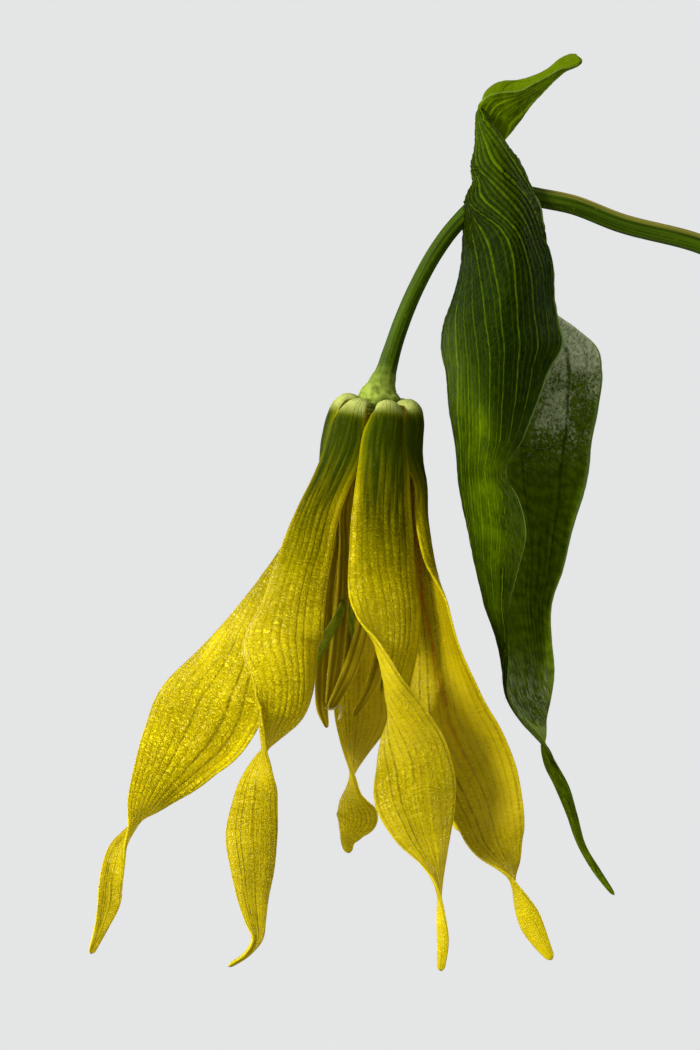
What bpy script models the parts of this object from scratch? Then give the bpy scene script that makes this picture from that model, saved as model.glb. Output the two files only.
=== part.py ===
"""A large-flowered bellwort in a plain glass bottle.

One cut stem leans in a small round bottle of water, arches over and carries one
perfoliate leaf, folded along its length, and one nodding yellow flower with six
twisted tepals, six stamens and a pistil.

Blender's units are metres. The design values below are millimetres, and MM turns
them into metres. +Z is up, and the origin is the middle of the bottle's base.
"""

from collections import namedtuple
from math import cos, pi, radians, sin

import bmesh
import bpy
import numpy as np
from mathutils import Vector

MM = 0.001

# Driving dimensions, in millimetres.
GAP = 0.3  # between pieces that rest on or grow out of each other
BOTTLE_HEIGHT = 105.0
BODY_RADIUS = 25.0
NECK_RADIUS = 10.5
MOUTH_RADIUS = 7.0  # inside the neck
GLASS_WALL = 2.2
GLASS_BASE = 4.0
WATER_LEVEL = 66.0
STEM_RADIUS = 0.78
STALK_RADIUS = 0.64  # the flower's own stalk
FLOWER_AT = (-59.0, 0.0, 135.0)  # where the tepals join the receptacle
FLOWER_SHIFT = -0.25  # its axis stands this far to +X of that point
FLOWER_TILT = 0.15  # and drifts this far to -X for each mm down
TEPAL_THICKNESS = 0.5
LEAF_THICKNESS = 0.5
ANTHER_THICKNESS = 0.4

# A blade's cross-section at one place along it. x, y and z are its middle from the
# flower's base, turn is the compass angle of its width and cup is half the angle
# that its width bends through.
Station = namedtuple("Station", "x y z half_width turn cup")

# Each tepal's direction round the flower, how far its dome reaches out compared with
# DOME, how far its dome's width turns in at its right side, and its stations below.
TEPALS = {
    "tepal_front": (
        -80,
        1.12,
        0,
        [
            Station(0.35, -4.4, -5.0, 2.15, 10, 60),
            Station(0.28, -4.9, -7.9, 2.45, 8, 60),
            Station(0.2, -5.5, -11.6, 2.95, 6, 62),
            Station(0.4, -6.1, -14.6, 3.2, 10, 65),
            Station(1.1, -6.6, -16.9, 3.25, 22, 68),
            Station(1.9, -7.1, -19.4, 2.95, 38, 70),
            Station(2.2, -7.5, -21.5, 2.95, 58, 68),
            Station(2.25, -7.9, -23.8, 3.5, 85, 68),
            Station(2.8, -8.3, -26.2, 3.25, 120, 52),
            Station(2.6, -8.7, -29.1, 3.4, 152, 38),
            Station(2.6, -9.1, -31.8, 3.4, 172, 30),
            Station(2.95, -9.5, -34.3, 2.75, 182, 26),
            Station(3.65, -9.9, -36.7, 1.4, 195, 25),
            Station(4.1, -10.3, -38.5, 0.9, 240, 20),
            Station(4.5, -10.6, -40.7, 0.5, 300, 20),
            Station(4.6, -10.8, -42.9, 0.42, 335, 20),
            Station(4.55, -11.0, -44.7, 0.2, 350, 20),
        ],
    ),
    "tepal_front_left": (
        -124,
        0.97,
        14,
        [
            Station(-4.8, -3.3, -6.8, 1.7, -30, 58),
            Station(-5.6, -3.7, -8.4, 1.95, -30, 58),
            Station(-6.15, -4.1, -10.0, 2.25, -28, 58),
            Station(-6.6, -4.5, -12.0, 2.45, -24, 58),
            Station(-7.3, -5.1, -14.4, 2.8, -18, 58),
            Station(-7.75, -5.7, -16.8, 3.0, -8, 57),
            Station(-7.95, -6.3, -19.5, 3.3, 8, 58),
            Station(-7.3, -6.7, -21.4, 3.1, 25, 60),
            Station(-6.8, -7.1, -23.3, 3.05, 45, 62),
            Station(-7.2, -7.5, -25.2, 3.2, 70, 60),
            Station(-8.3, -7.8, -26.7, 2.2, 95, 50),
            Station(-9.2, -8.0, -28.1, 1.3, 118, 42),
            Station(-9.8, -8.4, -30.3, 1.5, 145, 35),
            Station(-10.1, -8.7, -31.9, 1.75, 165, 30),
            Station(-10.25, -9.0, -34.3, 2.05, 178, 28),
            Station(-10.1, -9.4, -37.4, 1.7, 188, 28),
            Station(-9.95, -9.7, -39.8, 1.1, 195, 28),
            Station(-9.95, -9.9, -41.4, 0.65, 200, 28),
            Station(-9.9, -10.0, -42.6, 0.38, 205, 28),
            Station(-10.5, -10.1, -43.7, 0.25, 210, 20),
            Station(-12.1, -10.2, -44.9, 0.15, 215, 20),
        ],
    ),
    "tepal_left": (
        172,
        1.0,
        0,
        [
            Station(-5.1, 0.9, -6.6, 2.0, -92, 58),
            Station(-6.3, 1.2, -9.4, 2.4, -85, 55),
            Station(-7.8, 1.4, -12.2, 2.9, -75, 50),
            Station(-9.6, 1.4, -15.2, 3.5, -62, 46),
            Station(-11.0, 1.4, -18.2, 4.5, -50, 43),
            Station(-12.3, 1.3, -21.2, 5.0, -38, 40),
            Station(-13.7, 1.1, -24.0, 5.0, -26, 40),
            Station(-15.1, 0.9, -26.6, 4.4, -14, 40),
            Station(-16.6, 0.6, -29.0, 3.5, -2, 42),
            Station(-18.1, 0.3, -31.0, 2.5, 15, 45),
            Station(-19.3, 0.2, -33.0, 1.6, 50, 40),
            Station(-20.3, 0.1, -34.6, 1.3, 95, 35),
            Station(-20.9, 0.0, -36.2, 0.95, 140, 30),
            Station(-21.5, 0.0, -38.6, 0.75, 170, 28),
            Station(-22.1, 0.0, -40.8, 0.6, 182, 25),
            Station(-22.6, 0.0, -42.6, 0.4, 188, 20),
            Station(-23.2, 0.0, -44.4, 0.2, 190, 20),
        ],
    ),
    "tepal_right": (
        -20,
        0.97,
        0,
        [
            Station(3.1, -0.9, -6.8, 1.8, 102, 56),
            Station(3.2, -1.7, -10.0, 1.95, 113, 55),
            Station(3.4, -2.2, -12.0, 2.3, 118, 53),
            Station(3.65, -2.6, -14.3, 2.9, 123, 51),
            Station(3.85, -3.0, -16.3, 3.4, 127, 48),
            Station(4.6, -3.6, -21.0, 3.7, 137, 43),
            Station(4.95, -3.9, -23.4, 3.9, 148, 40),
            Station(5.5, -4.2, -25.8, 4.0, 158, 36),
            Station(6.5, -4.5, -28.2, 4.0, 168, 34),
            Station(7.65, -4.8, -30.7, 3.5, 175, 34),
            Station(8.3, -5.0, -32.8, 3.1, 182, 35),
            Station(9.1, -5.1, -35.6, 2.4, 195, 38),
            Station(9.8, -5.1, -37.4, 1.4, 222, 40),
            Station(10.2, -5.1, -38.5, 0.9, 262, 35),
            Station(10.8, -5.1, -40.0, 1.0, 305, 30),
            Station(11.5, -5.1, -41.5, 1.05, 335, 28),
            Station(12.3, -5.3, -43.0, 0.8, 350, 25),
            Station(13.4, -5.5, -44.8, 0.3, 355, 20),
        ],
    ),
    "tepal_back": (
        101,
        1.0,
        0,
        [
            Station(-1.6, 5.0, -7.6, 1.85, 188, 55),
            Station(-1.7, 6.4, -12.4, 2.4, 190, 50),
            Station(-1.9, 7.9, -17.2, 2.6, 194, 45),
            Station(-1.9, 9.3, -22.1, 2.5, 200, 40),
            Station(-1.9, 9.9, -26.4, 2.2, 208, 38),
            Station(-2.15, 10.3, -27.9, 1.9, 222, 36),
            Station(-2.35, 10.7, -29.4, 1.5, 242, 35),
            Station(-2.45, 11.0, -30.7, 1.25, 268, 35),
            Station(-2.3, 11.4, -32.1, 1.1, 300, 32),
            Station(-2.3, 11.8, -33.6, 1.6, 330, 30),
            Station(-2.4, 12.1, -34.8, 1.4, 345, 28),
            Station(-2.7, 12.3, -36.3, 0.6, 350, 25),
            Station(-2.65, 12.4, -37.3, 0.25, 355, 20),
        ],
    ),
    "tepal_back_right": (
        41,
        1.0,
        0,
        [
            Station(2.5, 3.6, -7.0, 1.8, 125, 56),
            Station(3.0, 4.6, -11.8, 2.0, 128, 52),
            Station(3.5, 5.6, -16.6, 2.3, 134, 46),
            Station(4.3, 6.8, -21.4, 2.4, 150, 42),
            Station(5.0, 8.3, -26.0, 2.3, 185, 36),
            Station(5.8, 9.1, -30.0, 1.4, 245, 30),
            Station(6.2, 9.7, -33.0, 1.3, 315, 30),
            Station(6.4, 10.1, -35.4, 0.4, 345, 20),
        ],
    ),
}

# How a tepal's pouched base rises from the receptacle and turns down:
# (distance from the axis, height, half width, cup).
DOME = [
    (1.25, -1.05, 0.3, 30),
    (1.9, -0.35, 0.6, 40),
    (2.7, -0.25, 0.95, 50),
    (3.45, -0.9, 1.2, 55),
    (3.85, -2.2, 1.65, 58),
    (3.95, -3.9, 1.9, 60),
]

# The leaf below its lobe, folded down its length with the upper side out. Each row is
# a level cut: its height, then x and y at the front margin, the middle of the front
# half, the fold, the midrib, the middle of the back half and the back margin.
LEAF = [
    (22.8, (8.0, -0.8), (7.9, -1.3), (7.8, -0.5), (7.8, 0.8), (8.0, 1.3), (8.2, 1.0)),
    (21.6, (8.8, -1.0), (8.3, -1.9), (7.8, -0.5), (7.8, 1.2), (8.2, 2.0), (8.8, 1.6)),
    (20.0, (9.8, -1.2), (9.0, -2.4), (7.7, -0.6), (7.8, 1.5), (8.4, 2.5), (9.2, 2.4)),
    (18.0, (11.2, -1.6), (9.6, -2.9), (7.7, -0.6), (7.9, 1.8), (8.6, 3.0), (9.8, 3.0)),
    (15.6, (12.3, -1.9), (10.1, -3.4), (7.2, -0.9), (7.5, 1.9), (8.6, 3.3), (10.4, 3.4)),
    (12.8, (13.0, -2.0), (10.4, -4.0), (7.05, -1.0), (7.2, 2.0), (8.8, 3.9), (11.2, 4.2)),
    (10.0, (13.7, -2.2), (10.2, -4.4), (6.75, -1.0), (7.0, 2.3), (9.0, 4.4), (12.2, 4.9)),
    (7.2, (13.8, -2.2), (9.9, -4.6), (6.0, -1.0), (6.4, 2.6), (9.4, 5.0), (13.5, 5.3)),
    (5.6, (14.1, -2.2), (9.7, -4.6), (5.5, -1.0), (6.0, 2.7), (10.2, 5.2), (15.6, 4.6)),
    (4.0, (14.4, -2.4), (9.5, -4.8), (5.3, -1.1), (5.9, 2.7), (10.8, 5.3), (17.3, 3.6)),
    (2.0, (13.4, -2.8), (9.1, -4.8), (5.6, -1.2), (6.2, 2.7), (11.1, 5.4), (17.7, 2.8)),
    (-0.8, (12.3, -3.2), (8.7, -4.6), (5.85, -1.2), (6.4, 2.6), (11.0, 5.2), (17.45, 2.4)),
    (-3.6, (11.2, -3.4), (8.5, -4.4), (6.1, -1.2), (6.7, 2.5), (11.1, 4.9), (16.9, 2.2)),
    (-6.2, (9.8, -3.6), (8.1, -4.2), (6.2, -1.2), (7.1, 2.4), (11.1, 4.5), (16.6, 2.0)),
    (-8.4, (10.9, -2.6), (8.4, -4.0), (6.5, -1.2), (7.6, 2.3), (11.3, 4.1), (16.1, 1.8)),
    (-11.2, (11.4, -2.0), (9.0, -3.6), (7.1, -1.1), (8.3, 2.1), (11.6, 3.6), (15.15, 1.5)),
    (-14.0, (10.8, -1.8), (9.2, -3.0), (7.6, -1.0), (9.0, 1.8), (11.8, 3.1), (14.5, 1.2)),
    (-16.8, (10.2, -1.6), (9.3, -2.3), (8.3, -0.8), (9.7, 1.5), (11.7, 2.5), (13.6, 1.0)),
    (-19.6, (10.0, -1.4), (9.7, -1.8), (9.3, -0.6), (10.4, 1.1), (12.0, 1.9), (13.6, 0.8)),
    (-22.0, (10.0, -1.3), (9.8, -1.0), (9.9, -0.3), (11.0, 0.9), (12.3, 1.4), (13.8, 0.6)),
    (-24.0, (10.0, -1.2), (10.0, -0.8), (10.2, 0.0), (11.5, 0.7), (12.6, 1.0), (13.6, 0.4)),
    (-26.0, (11.1, -1.3), (11.3, -0.8), (11.6, -0.1), (12.1, 0.4), (12.7, 0.7), (13.2, 0.7)),
    (-27.2, (12.2, -1.2), (12.4, -0.7), (12.6, -0.2), (12.8, 0.2), (13.0, 0.6), (13.1, 0.9)),
    (-28.2, (13.2, -0.9), (13.1, -0.6), (13.1, -0.3), (13.0, 0.0), (12.9, 0.4), (12.9, 0.8)),
    (-29.4, (13.8, -0.4), (13.7, -0.5), (13.6, -0.5), (13.4, -0.3), (13.2, 0.0), (13.0, 0.3)),
    (-31.2, (14.8, 0.0), (14.7, -0.3), (14.5, -0.5), (14.3, -0.5), (14.1, -0.3), (13.8, 0.0)),
    (-33.5, (15.5, 0.0), (15.4, -0.3), (15.3, -0.4), (15.2, -0.4), (15.0, -0.3), (14.8, 0.0)),
    (-36.0, (16.2, 0.0), (16.1, -0.2), (16.1, -0.3), (16.0, -0.3), (15.9, -0.2), (15.7, 0.0)),
    (-38.0, (17.3, 0.0), (17.3, -0.1), (17.2, -0.2), (17.1, -0.2), (17.0, -0.1), (16.9, 0.0)),
    (-40.0, (18.6, 0.0), (18.6, 0.0), (18.6, -0.1), (18.5, -0.1), (18.5, 0.0), (18.5, 0.0)),
]

# The leaf's rolled lobe above the stem, a trough that opens upwards. Each row is x, y
# and z at its near margin, its keel and its far margin.
LOBE = [
    ((7.9, 0.1, 21.4), (8.6, 2.2, 18.6), (8.3, 4.2, 21.0)),
    ((7.8, -0.2, 23.4), (9.7, 1.0, 20.5), (8.1, 2.6, 24.0)),
    ((8.6, -0.8, 24.0), (10.4, 1.0, 21.5), (8.6, 2.6, 24.8)),
    ((9.8, -1.1, 24.2), (11.3, 1.0, 22.6), (9.6, 2.8, 25.3)),
    ((11.0, -1.1, 24.4), (12.1, 1.0, 23.6), (11.0, 2.7, 25.5)),
    ((12.2, -0.9, 24.9), (13.0, 0.9, 24.6), (12.2, 2.3, 25.7)),
    ((13.2, -0.6, 25.5), (13.8, 0.8, 25.4), (13.1, 1.9, 26.0)),
    ((14.2, -0.3, 26.1), (14.6, 0.7, 26.1), (14.0, 1.5, 26.5)),
    ((15.9, -0.1, 26.7), (15.6, 0.7, 26.4), (15.0, 1.3, 27.2)),
]

# The stem's route, from the bottle's floor up, over and down to the flower:
# (x, y, z, radius). The last points flare into the receptacle.
STEM_ROUTE = [
    (13.2, 0.0, GLASS_BASE + GAP + STEM_RADIUS, STEM_RADIUS),
    (3.8, 0.0, 54.0, STEM_RADIUS),
    (-5.5, 0.0, 103.0, STEM_RADIUS),
    (-8.0, 0.0, 115.0, STEM_RADIUS),
    (-12.0, 0.0, 127.0, STEM_RADIUS),
    (-18.2, 0.0, 136.8, STEM_RADIUS),
    (-25.9, 0.0, 143.3, STEM_RADIUS),
    (-33.6, 0.0, 147.1, STEM_RADIUS),
    (-40.0, 0.0, 148.8, STEM_RADIUS),
    (-44.0, 0.0, 150.3, STEM_RADIUS),
    (-46.0, 0.0, 150.7, STEM_RADIUS),
    (-48.4, 0.0, 151.1, 0.72),
    (-50.8, 0.0, 150.6, 0.68),
    (-53.1, 0.0, 148.6, STALK_RADIUS),
    (-54.6, 0.0, 146.6, STALK_RADIUS),
    (-56.2, 0.0, 143.7, STALK_RADIUS),
    (-57.4, 0.0, 140.9, 0.67),
    (-58.3, 0.0, 138.2, 0.74),
    (-58.75, 0.0, 136.6, 0.9),
    (-59.0, 0.0, 135.7, 1.12),
    (-59.2, 0.0, 135.15, 1.5),
    (-59.25, 0.0, 134.85, 1.3),
]

# Stamens: the compass angle where each filament starts, the turn of its anther's
# width, and points on the anther from its top to its tip.
STAMENS = {
    "stamen_left": (
        190,
        0,
        [(-3.3, -0.3, -12.0), (-4.2, -0.4, -16.6), (-4.75, -0.4, -22.0), (-4.35, -0.5, -26.6)],
    ),
    "stamen_mid_left": (
        235,
        0,
        [(-3.1, -2.0, -10.8), (-3.35, -2.1, -16.4), (-3.6, -2.1, -20.4), (-4.1, -1.9, -24.4)],
    ),
    "stamen_front": (
        275,
        10,
        [(-0.6, -2.4, -13.2), (-1.8, -2.8, -19.0), (-2.7, -2.9, -22.2), (-4.3, -3.0, -25.3)],
    ),
    "stamen_right": (
        320,
        20,
        [(0.3, -0.2, -12.2), (0.2, -0.5, -17.6), (-0.4, -1.3, -21.8), (-2.3, -1.6, -25.7)],
    ),
    "stamen_back_right": (
        45,
        130,
        [(0.8, 2.4, -12.0), (0.7, 2.6, -16.0), (0.5, 2.8, -20.0), (0.1, 3.0, -24.0)],
    ),
    "stamen_back": (
        125,
        10,
        [(-2.2, 1.5, -11.5), (-2.55, 1.5, -17.2), (-2.9, 1.6, -20.4), (-3.2, 1.6, -23.6)],
    ),
}

# The style's route, and each stigma's from its end: (x, y, z, radius).
STYLE = [
    (-0.4, 0.0, -1.0, 0.45),
    (-0.6, 0.0, -2.4, 0.58),
    (-0.95, -0.1, -4.6, 0.55),
    (-1.2, -0.15, -6.2, 0.32),
    (-2.1, -0.5, -11.0, 0.28),
    (-3.0, -0.8, -16.0, 0.3),
]
STIGMA_START = (-3.0, -0.8, -15.4, 0.25)
STIGMAS = [
    [(-3.5, -1.15, -17.6, 0.25), (-4.4, -1.35, -19.4, 0.24), (-5.3, -1.5, -21.0, 0.2)],
    [(-2.6, -0.6, -17.4, 0.25), (-2.3, -0.5, -19.0, 0.24), (-1.8, -0.6, -20.4, 0.2)],
    [(-3.2, -0.2, -17.2, 0.25), (-3.6, 0.3, -18.8, 0.24), (-4.0, 0.7, -20.0, 0.2)],
]

# Finishes: base colour, roughness and transmission.
FINISHES = {
    "glass": ((0.93, 0.96, 0.96), 0.04, 1.0),
    "water": ((0.90, 0.95, 0.96), 0.02, 1.0),
    "stem": ((0.16, 0.28, 0.03), 0.45, 0.0),
    "leaf": ((0.07, 0.17, 0.01), 0.5, 0.0),
    "tepal": ((0.80, 0.68, 0.02), 0.4, 0.0),
    "stamen": ((0.62, 0.50, 0.03), 0.5, 0.0),
    "pistil": ((0.35, 0.45, 0.05), 0.45, 0.0),
}


def clear_scene():
    for obj in list(bpy.data.objects):
        bpy.data.objects.remove(obj)


def collection(name):
    made = bpy.data.collections.new(name)
    bpy.context.scene.collection.children.link(made)
    return made


def finish(name):
    """The material of this name, made the first time it is asked for."""
    if name in bpy.data.materials:
        return bpy.data.materials[name]
    color, roughness, transmission = FINISHES[name]
    made = bpy.data.materials.new(name)
    made.use_nodes = True
    shader = made.node_tree.nodes["Principled BSDF"]
    shader.inputs["Base Color"].default_value = (*color, 1.0)
    shader.inputs["Roughness"].default_value = roughness
    shader.inputs["Metallic"].default_value = 0.0
    shader.inputs["Transmission Weight"].default_value = transmission
    return made


def place(name, data, group, material):
    obj = bpy.data.objects.new(name, data)
    obj.data.materials.append(finish(material))
    group.objects.link(obj)
    return obj


def through(rows, at, wanted):
    """A smooth curve through rows that lie at these places, read at the wanted places."""
    slopes = np.gradient(rows, at, axis=0)
    i = np.clip(np.searchsorted(at, wanted, side="right") - 1, 0, len(at) - 2)
    shape = (-1,) + (1,) * (rows.ndim - 1)
    span = (at[i + 1] - at[i]).reshape(shape)
    t = (wanted - at[i]).reshape(shape) / span
    low = rows[i] * (1 + 2 * t) + slopes[i] * span * t
    high = rows[i + 1] * (3 - 2 * t) + slopes[i + 1] * span * (t - 1)
    return low * (1 - t) ** 2 + high * t**2


def smooth_rows(rows, count):
    """count rows on a curve through these, evenly spread along their first three columns."""
    rows = np.array(rows, float)
    steps = np.linalg.norm(np.diff(rows[:, :3], axis=0), axis=1)
    at = np.concatenate([[0], np.cumsum(steps)])
    return through(rows, at, np.linspace(0, at[-1], count))


def lofted_points(sections, along, across):
    """A grid of points on the smooth sheet that passes through these sections."""
    sections = np.array(sections, float)
    columns = np.arange(sections.shape[1])
    wide = through(sections.transpose(1, 0, 2), columns, np.linspace(0, columns[-1], across))
    rows = wide.transpose(1, 0, 2)
    steps = np.linalg.norm(np.diff(rows, axis=0), axis=2).mean(axis=1)
    at = np.concatenate([[0], np.cumsum(steps)])
    return through(rows, at, np.linspace(0, at[-1], along))


def blade_points(stations, along, across):
    """Points of a cupped, twisting blade, as along rows of across points."""
    rows = smooth_rows(stations, along)
    path = rows[:, :3]
    tangent = np.gradient(path, axis=0)
    tangent /= np.linalg.norm(tangent, axis=1)[:, None]
    half, turn, cup = rows[:, 3], np.radians(rows[:, 4]), np.radians(rows[:, 5])
    level = np.stack([np.cos(turn), np.sin(turn), 0 * turn], axis=1)
    width = level - (level * tangent).sum(1)[:, None] * tangent
    width /= np.linalg.norm(width, axis=1)[:, None]
    outward = np.cross(tangent, width)
    u = np.linspace(-1, 1, across)
    radius = (half / cup)[:, None]
    sideways = radius * np.sin(cup[:, None] * u)
    inward = radius * (1 - np.cos(cup[:, None] * u))
    return (
        path[:, None]
        + width[:, None] * sideways[..., None]
        - outward[:, None] * inward[..., None]
    )


def sheet(name, points, thickness, group, material, origin=FLOWER_AT):
    """A closed sheet of this thickness through a grid of points, in millimetres."""
    along, across = points.shape[:2]
    bm = bmesh.new()
    bmesh.ops.create_grid(bm, x_segments=across - 1, y_segments=along - 1, size=1)
    bm.verts.ensure_lookup_table()
    for vertex, point in zip(bm.verts, points.reshape(-1, 3)):
        vertex.co = Vector(point) * MM
    mesh = bpy.data.meshes.new(name)
    bm.to_mesh(mesh)
    bm.free()
    obj = place(name, mesh, group, material)
    obj.location = Vector(origin) * MM
    solid = obj.modifiers.new("Thickness", "SOLIDIFY")
    solid.thickness = thickness * MM
    solid.offset = 0
    mesh.shade_smooth()
    return obj


def tube(name, route, group, material, origin=(0, 0, 0), sides=2, resolution=4):
    """A round rod along a smooth route of (x, y, z, radius), in millimetres."""
    curve = bpy.data.curves.new(name, "CURVE")
    curve.dimensions = "3D"
    curve.resolution_u = resolution
    curve.bevel_depth = MM
    curve.bevel_resolution = sides
    curve.use_fill_caps = True
    spline = curve.splines.new("BEZIER")
    spline.bezier_points.add(len(route) - 1)
    for point, (x, y, z, radius) in zip(spline.bezier_points, route):
        point.co = Vector((x, y, z)) * MM
        point.radius = radius
        point.handle_left_type = point.handle_right_type = "AUTO"
    obj = place(name, curve, group, material)
    obj.location = Vector(origin) * MM
    return obj


def as_mesh(obj):
    """The same object as a plain closed mesh, with a curve's caps welded on."""
    bpy.context.view_layer.update()
    graph = bpy.context.evaluated_depsgraph_get()
    mesh = bpy.data.meshes.new_from_object(obj.evaluated_get(graph))
    bm = bmesh.new()
    bm.from_mesh(mesh)
    bmesh.ops.remove_doubles(bm, verts=bm.verts, dist=0.001 * MM)
    bm.to_mesh(mesh)
    bm.free()
    made = bpy.data.objects.new(obj.name, mesh)
    made.matrix_world = obj.matrix_world
    for group in obj.users_collection:
        group.objects.link(made)
    name = obj.name
    bpy.data.objects.remove(obj)
    made.name = name
    return made


def hidden(obj):
    obj.hide_render = True
    obj.display_type = "WIRE"
    return obj


def boolean(obj, other, operation):
    modifier = obj.modifiers.new(other.name, "BOOLEAN")
    modifier.operation = operation
    modifier.object = other
    modifier.solver = "EXACT"
    return modifier


def turned(name, profile, group, material, steps):
    """A solid of revolution about +Z from a profile of (radius, height), in millimetres."""
    mesh = bpy.data.meshes.new(name)
    points = [(radius * MM, 0, height * MM) for radius, height in profile]
    mesh.from_pydata(points, [(i, i + 1) for i in range(len(points) - 1)], [])
    obj = place(name, mesh, group, material)
    screw = obj.modifiers.new("Turn", "SCREW")
    screw.steps = screw.render_steps = steps
    screw.use_merge_vertices = True
    screw.merge_threshold = 0.00001
    screw.use_smooth_shade = True
    return obj


def quarter(centre, radius, start, end, steps=4):
    """Profile points on a round corner between two angles in degrees."""
    angles = [radians(start + (end - start) * i / steps) for i in range(steps + 1)]
    return [(centre[0] + radius * cos(a), centre[1] + radius * sin(a)) for a in angles]


def bottle_outline(inset, foot, top):
    """Half of the body's outline from its foot up to the neck, drawn inset from the outside."""
    shoulder_low, shoulder_high, corner = 66.0, 86.0, 3.5
    radius = BODY_RADIUS - inset
    neck = NECK_RADIUS - inset
    rise = shoulder_high - shoulder_low
    shoulder = [
        (neck + (radius - neck) * (1 + cos(pi * i / 8)) / 2, shoulder_low + rise * i / 8)
        for i in range(9)
    ]
    return quarter((radius - corner, foot + corner), corner, -90, 0) + shoulder + [(neck, top)]


def make_bottle(group):
    """The glass: base, round body, shoulder, neck and a rounded lip, open at the mouth."""
    lip_radius, lip_height = 12.4, 6.0
    outer = bottle_outline(0, 0, BOTTLE_HEIGHT - lip_height)
    lip_corner = 1.6
    lip_centre = lip_radius - lip_corner
    lip_low = BOTTLE_HEIGHT - lip_height + lip_corner
    lip = quarter((lip_centre, lip_low), lip_corner, -60, 0, 3)
    lip += quarter((lip_centre, BOTTLE_HEIGHT - lip_corner), lip_corner, 0, 90, 4)
    mouth_corner = 1.0
    mouth_centre = (MOUTH_RADIUS + mouth_corner, BOTTLE_HEIGHT - mouth_corner)
    mouth = quarter(mouth_centre, mouth_corner, 90, 180, 3)
    inner = bottle_outline(GLASS_WALL, GLASS_BASE, 92.0)
    inner[-1] = (MOUTH_RADIUS, 92.0)
    inner = [(max(r, MOUTH_RADIUS), z) for r, z in inner]
    profile = [(0, GLASS_BASE)] + inner + mouth[::-1] + lip[::-1] + outer[::-1] + [(0, 0)]
    return turned("bottle", profile, group, "glass", 32)


def make_water(group):
    """The water that fills the body, clear of the glass and of the stem."""
    corner = 3.2
    radius = BODY_RADIUS - GLASS_WALL - GAP
    low = GLASS_BASE + GAP
    side = quarter((radius - corner, low + corner), corner, -90, 0)
    profile = [(0, WATER_LEVEL), (radius, WATER_LEVEL)] + side[::-1] + [(0, low)]
    return turned("water", profile, group, "water", 32)


def make_stem(group):
    return as_mesh(tube("stem", STEM_ROUTE, group, "stem", sides=2))


def stem_cutter(group, name, points):
    """A rod a little thicker than the stem along part of its route."""
    route = [(x, y, z, radius + GAP) for x, y, z, radius in points]
    return hidden(as_mesh(tube(name, route, group, "stem", sides=2)))


def dome_stations(direction, reach, tuck):
    """The stations of a tepal's pouched base, in its direction round the flower."""
    angle = radians(direction)
    made = []
    for out, height, half_width, cup in DOME:
        x = reach * out * cos(angle) + flower_axis(height)[0]
        y = reach * out * sin(angle)
        made.append(Station(x, y, height, half_width, direction + 90 + tuck, cup))
    return made


def near_turn(station, previous):
    """The same station with its turn within half a turn of the one before."""
    laps = round((previous.turn - station.turn) / 360)
    return station._replace(turn=station.turn + 360 * laps)


def make_tepals(group):
    made = []
    for name, (direction, reach, tuck, stations) in TEPALS.items():
        whole = dome_stations(direction, reach, tuck)
        for station in stations:
            whole.append(near_turn(station, whole[-1]))
        points = blade_points(whole, 40, 7)
        made.append(sheet(name, points, TEPAL_THICKNESS, group, "tepal"))
    return made


def make_leaf(group, cutters, hole):
    """The folded blade and its rolled lobe, joined, with the hole that the stem runs through."""
    sections = [[(x, y, row[0]) for x, y in row[1:]] for row in LEAF]
    leaf = sheet("leaf", lofted_points(sections, 44, 11), LEAF_THICKNESS, group, "leaf")
    lobe = sheet("lobe_to_join", lofted_points(LOBE, 15, 9), LEAF_THICKNESS, cutters, "leaf")
    boolean(leaf, hidden(lobe), "UNION")
    boolean(leaf, hole, "DIFFERENCE")
    return leaf


def flower_axis(height):
    """The flower's axis at this height from the flower's base."""
    return np.array([FLOWER_SHIFT + FLOWER_TILT * height, 0.0, height])


def make_stamens(group):
    """A thin filament from the receptacle, and a long flat anther on its end."""
    for name, (direction, turn, anther) in STAMENS.items():
        out = np.array([cos(radians(direction)), sin(radians(direction)), 0.0])
        route = [flower_axis(-1.6) + 1.0 * out, flower_axis(-5.0) + 1.45 * out]
        widths = [0.2, 0.2, 0.4, 0.5, 0.5, 0.2]
        stations = [
            Station(*point, half, turn, 45)
            for point, half in zip(route + [np.array(point) for point in anther], widths)
        ]
        sheet(name, blade_points(stations, 16, 3), ANTHER_THICKNESS, group, "stamen")


def make_pistil(group, cutters):
    """The ovary and style, with three stigmas that part outwards, as one grown piece."""
    pistil = as_mesh(tube("pistil", STYLE, group, "pistil", FLOWER_AT))
    for i, route in enumerate(STIGMAS):
        whole = [STIGMA_START] + route
        branch = as_mesh(tube(f"stigma_{i}", whole, cutters, "pistil", FLOWER_AT))
        boolean(pistil, hidden(branch), "UNION")


def main():
    clear_scene()
    plant = collection("bellwort_in_bottle")
    cutters = collection("cutters")
    make_bottle(plant)
    water = make_water(plant)
    make_stem(plant)
    below = (13.6, 0.0, GLASS_BASE - 1.0, STEM_RADIUS)
    in_water = stem_cutter(cutters, "stem_in_water", [below] + STEM_ROUTE[1:4])
    boolean(water, in_water, "DIFFERENCE")
    make_tepals(plant)
    through_leaf = stem_cutter(cutters, "stem_through_leaf", STEM_ROUTE[9:15])
    make_leaf(plant, cutters, through_leaf)
    make_stamens(plant)
    make_pistil(plant, cutters)


main()
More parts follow.
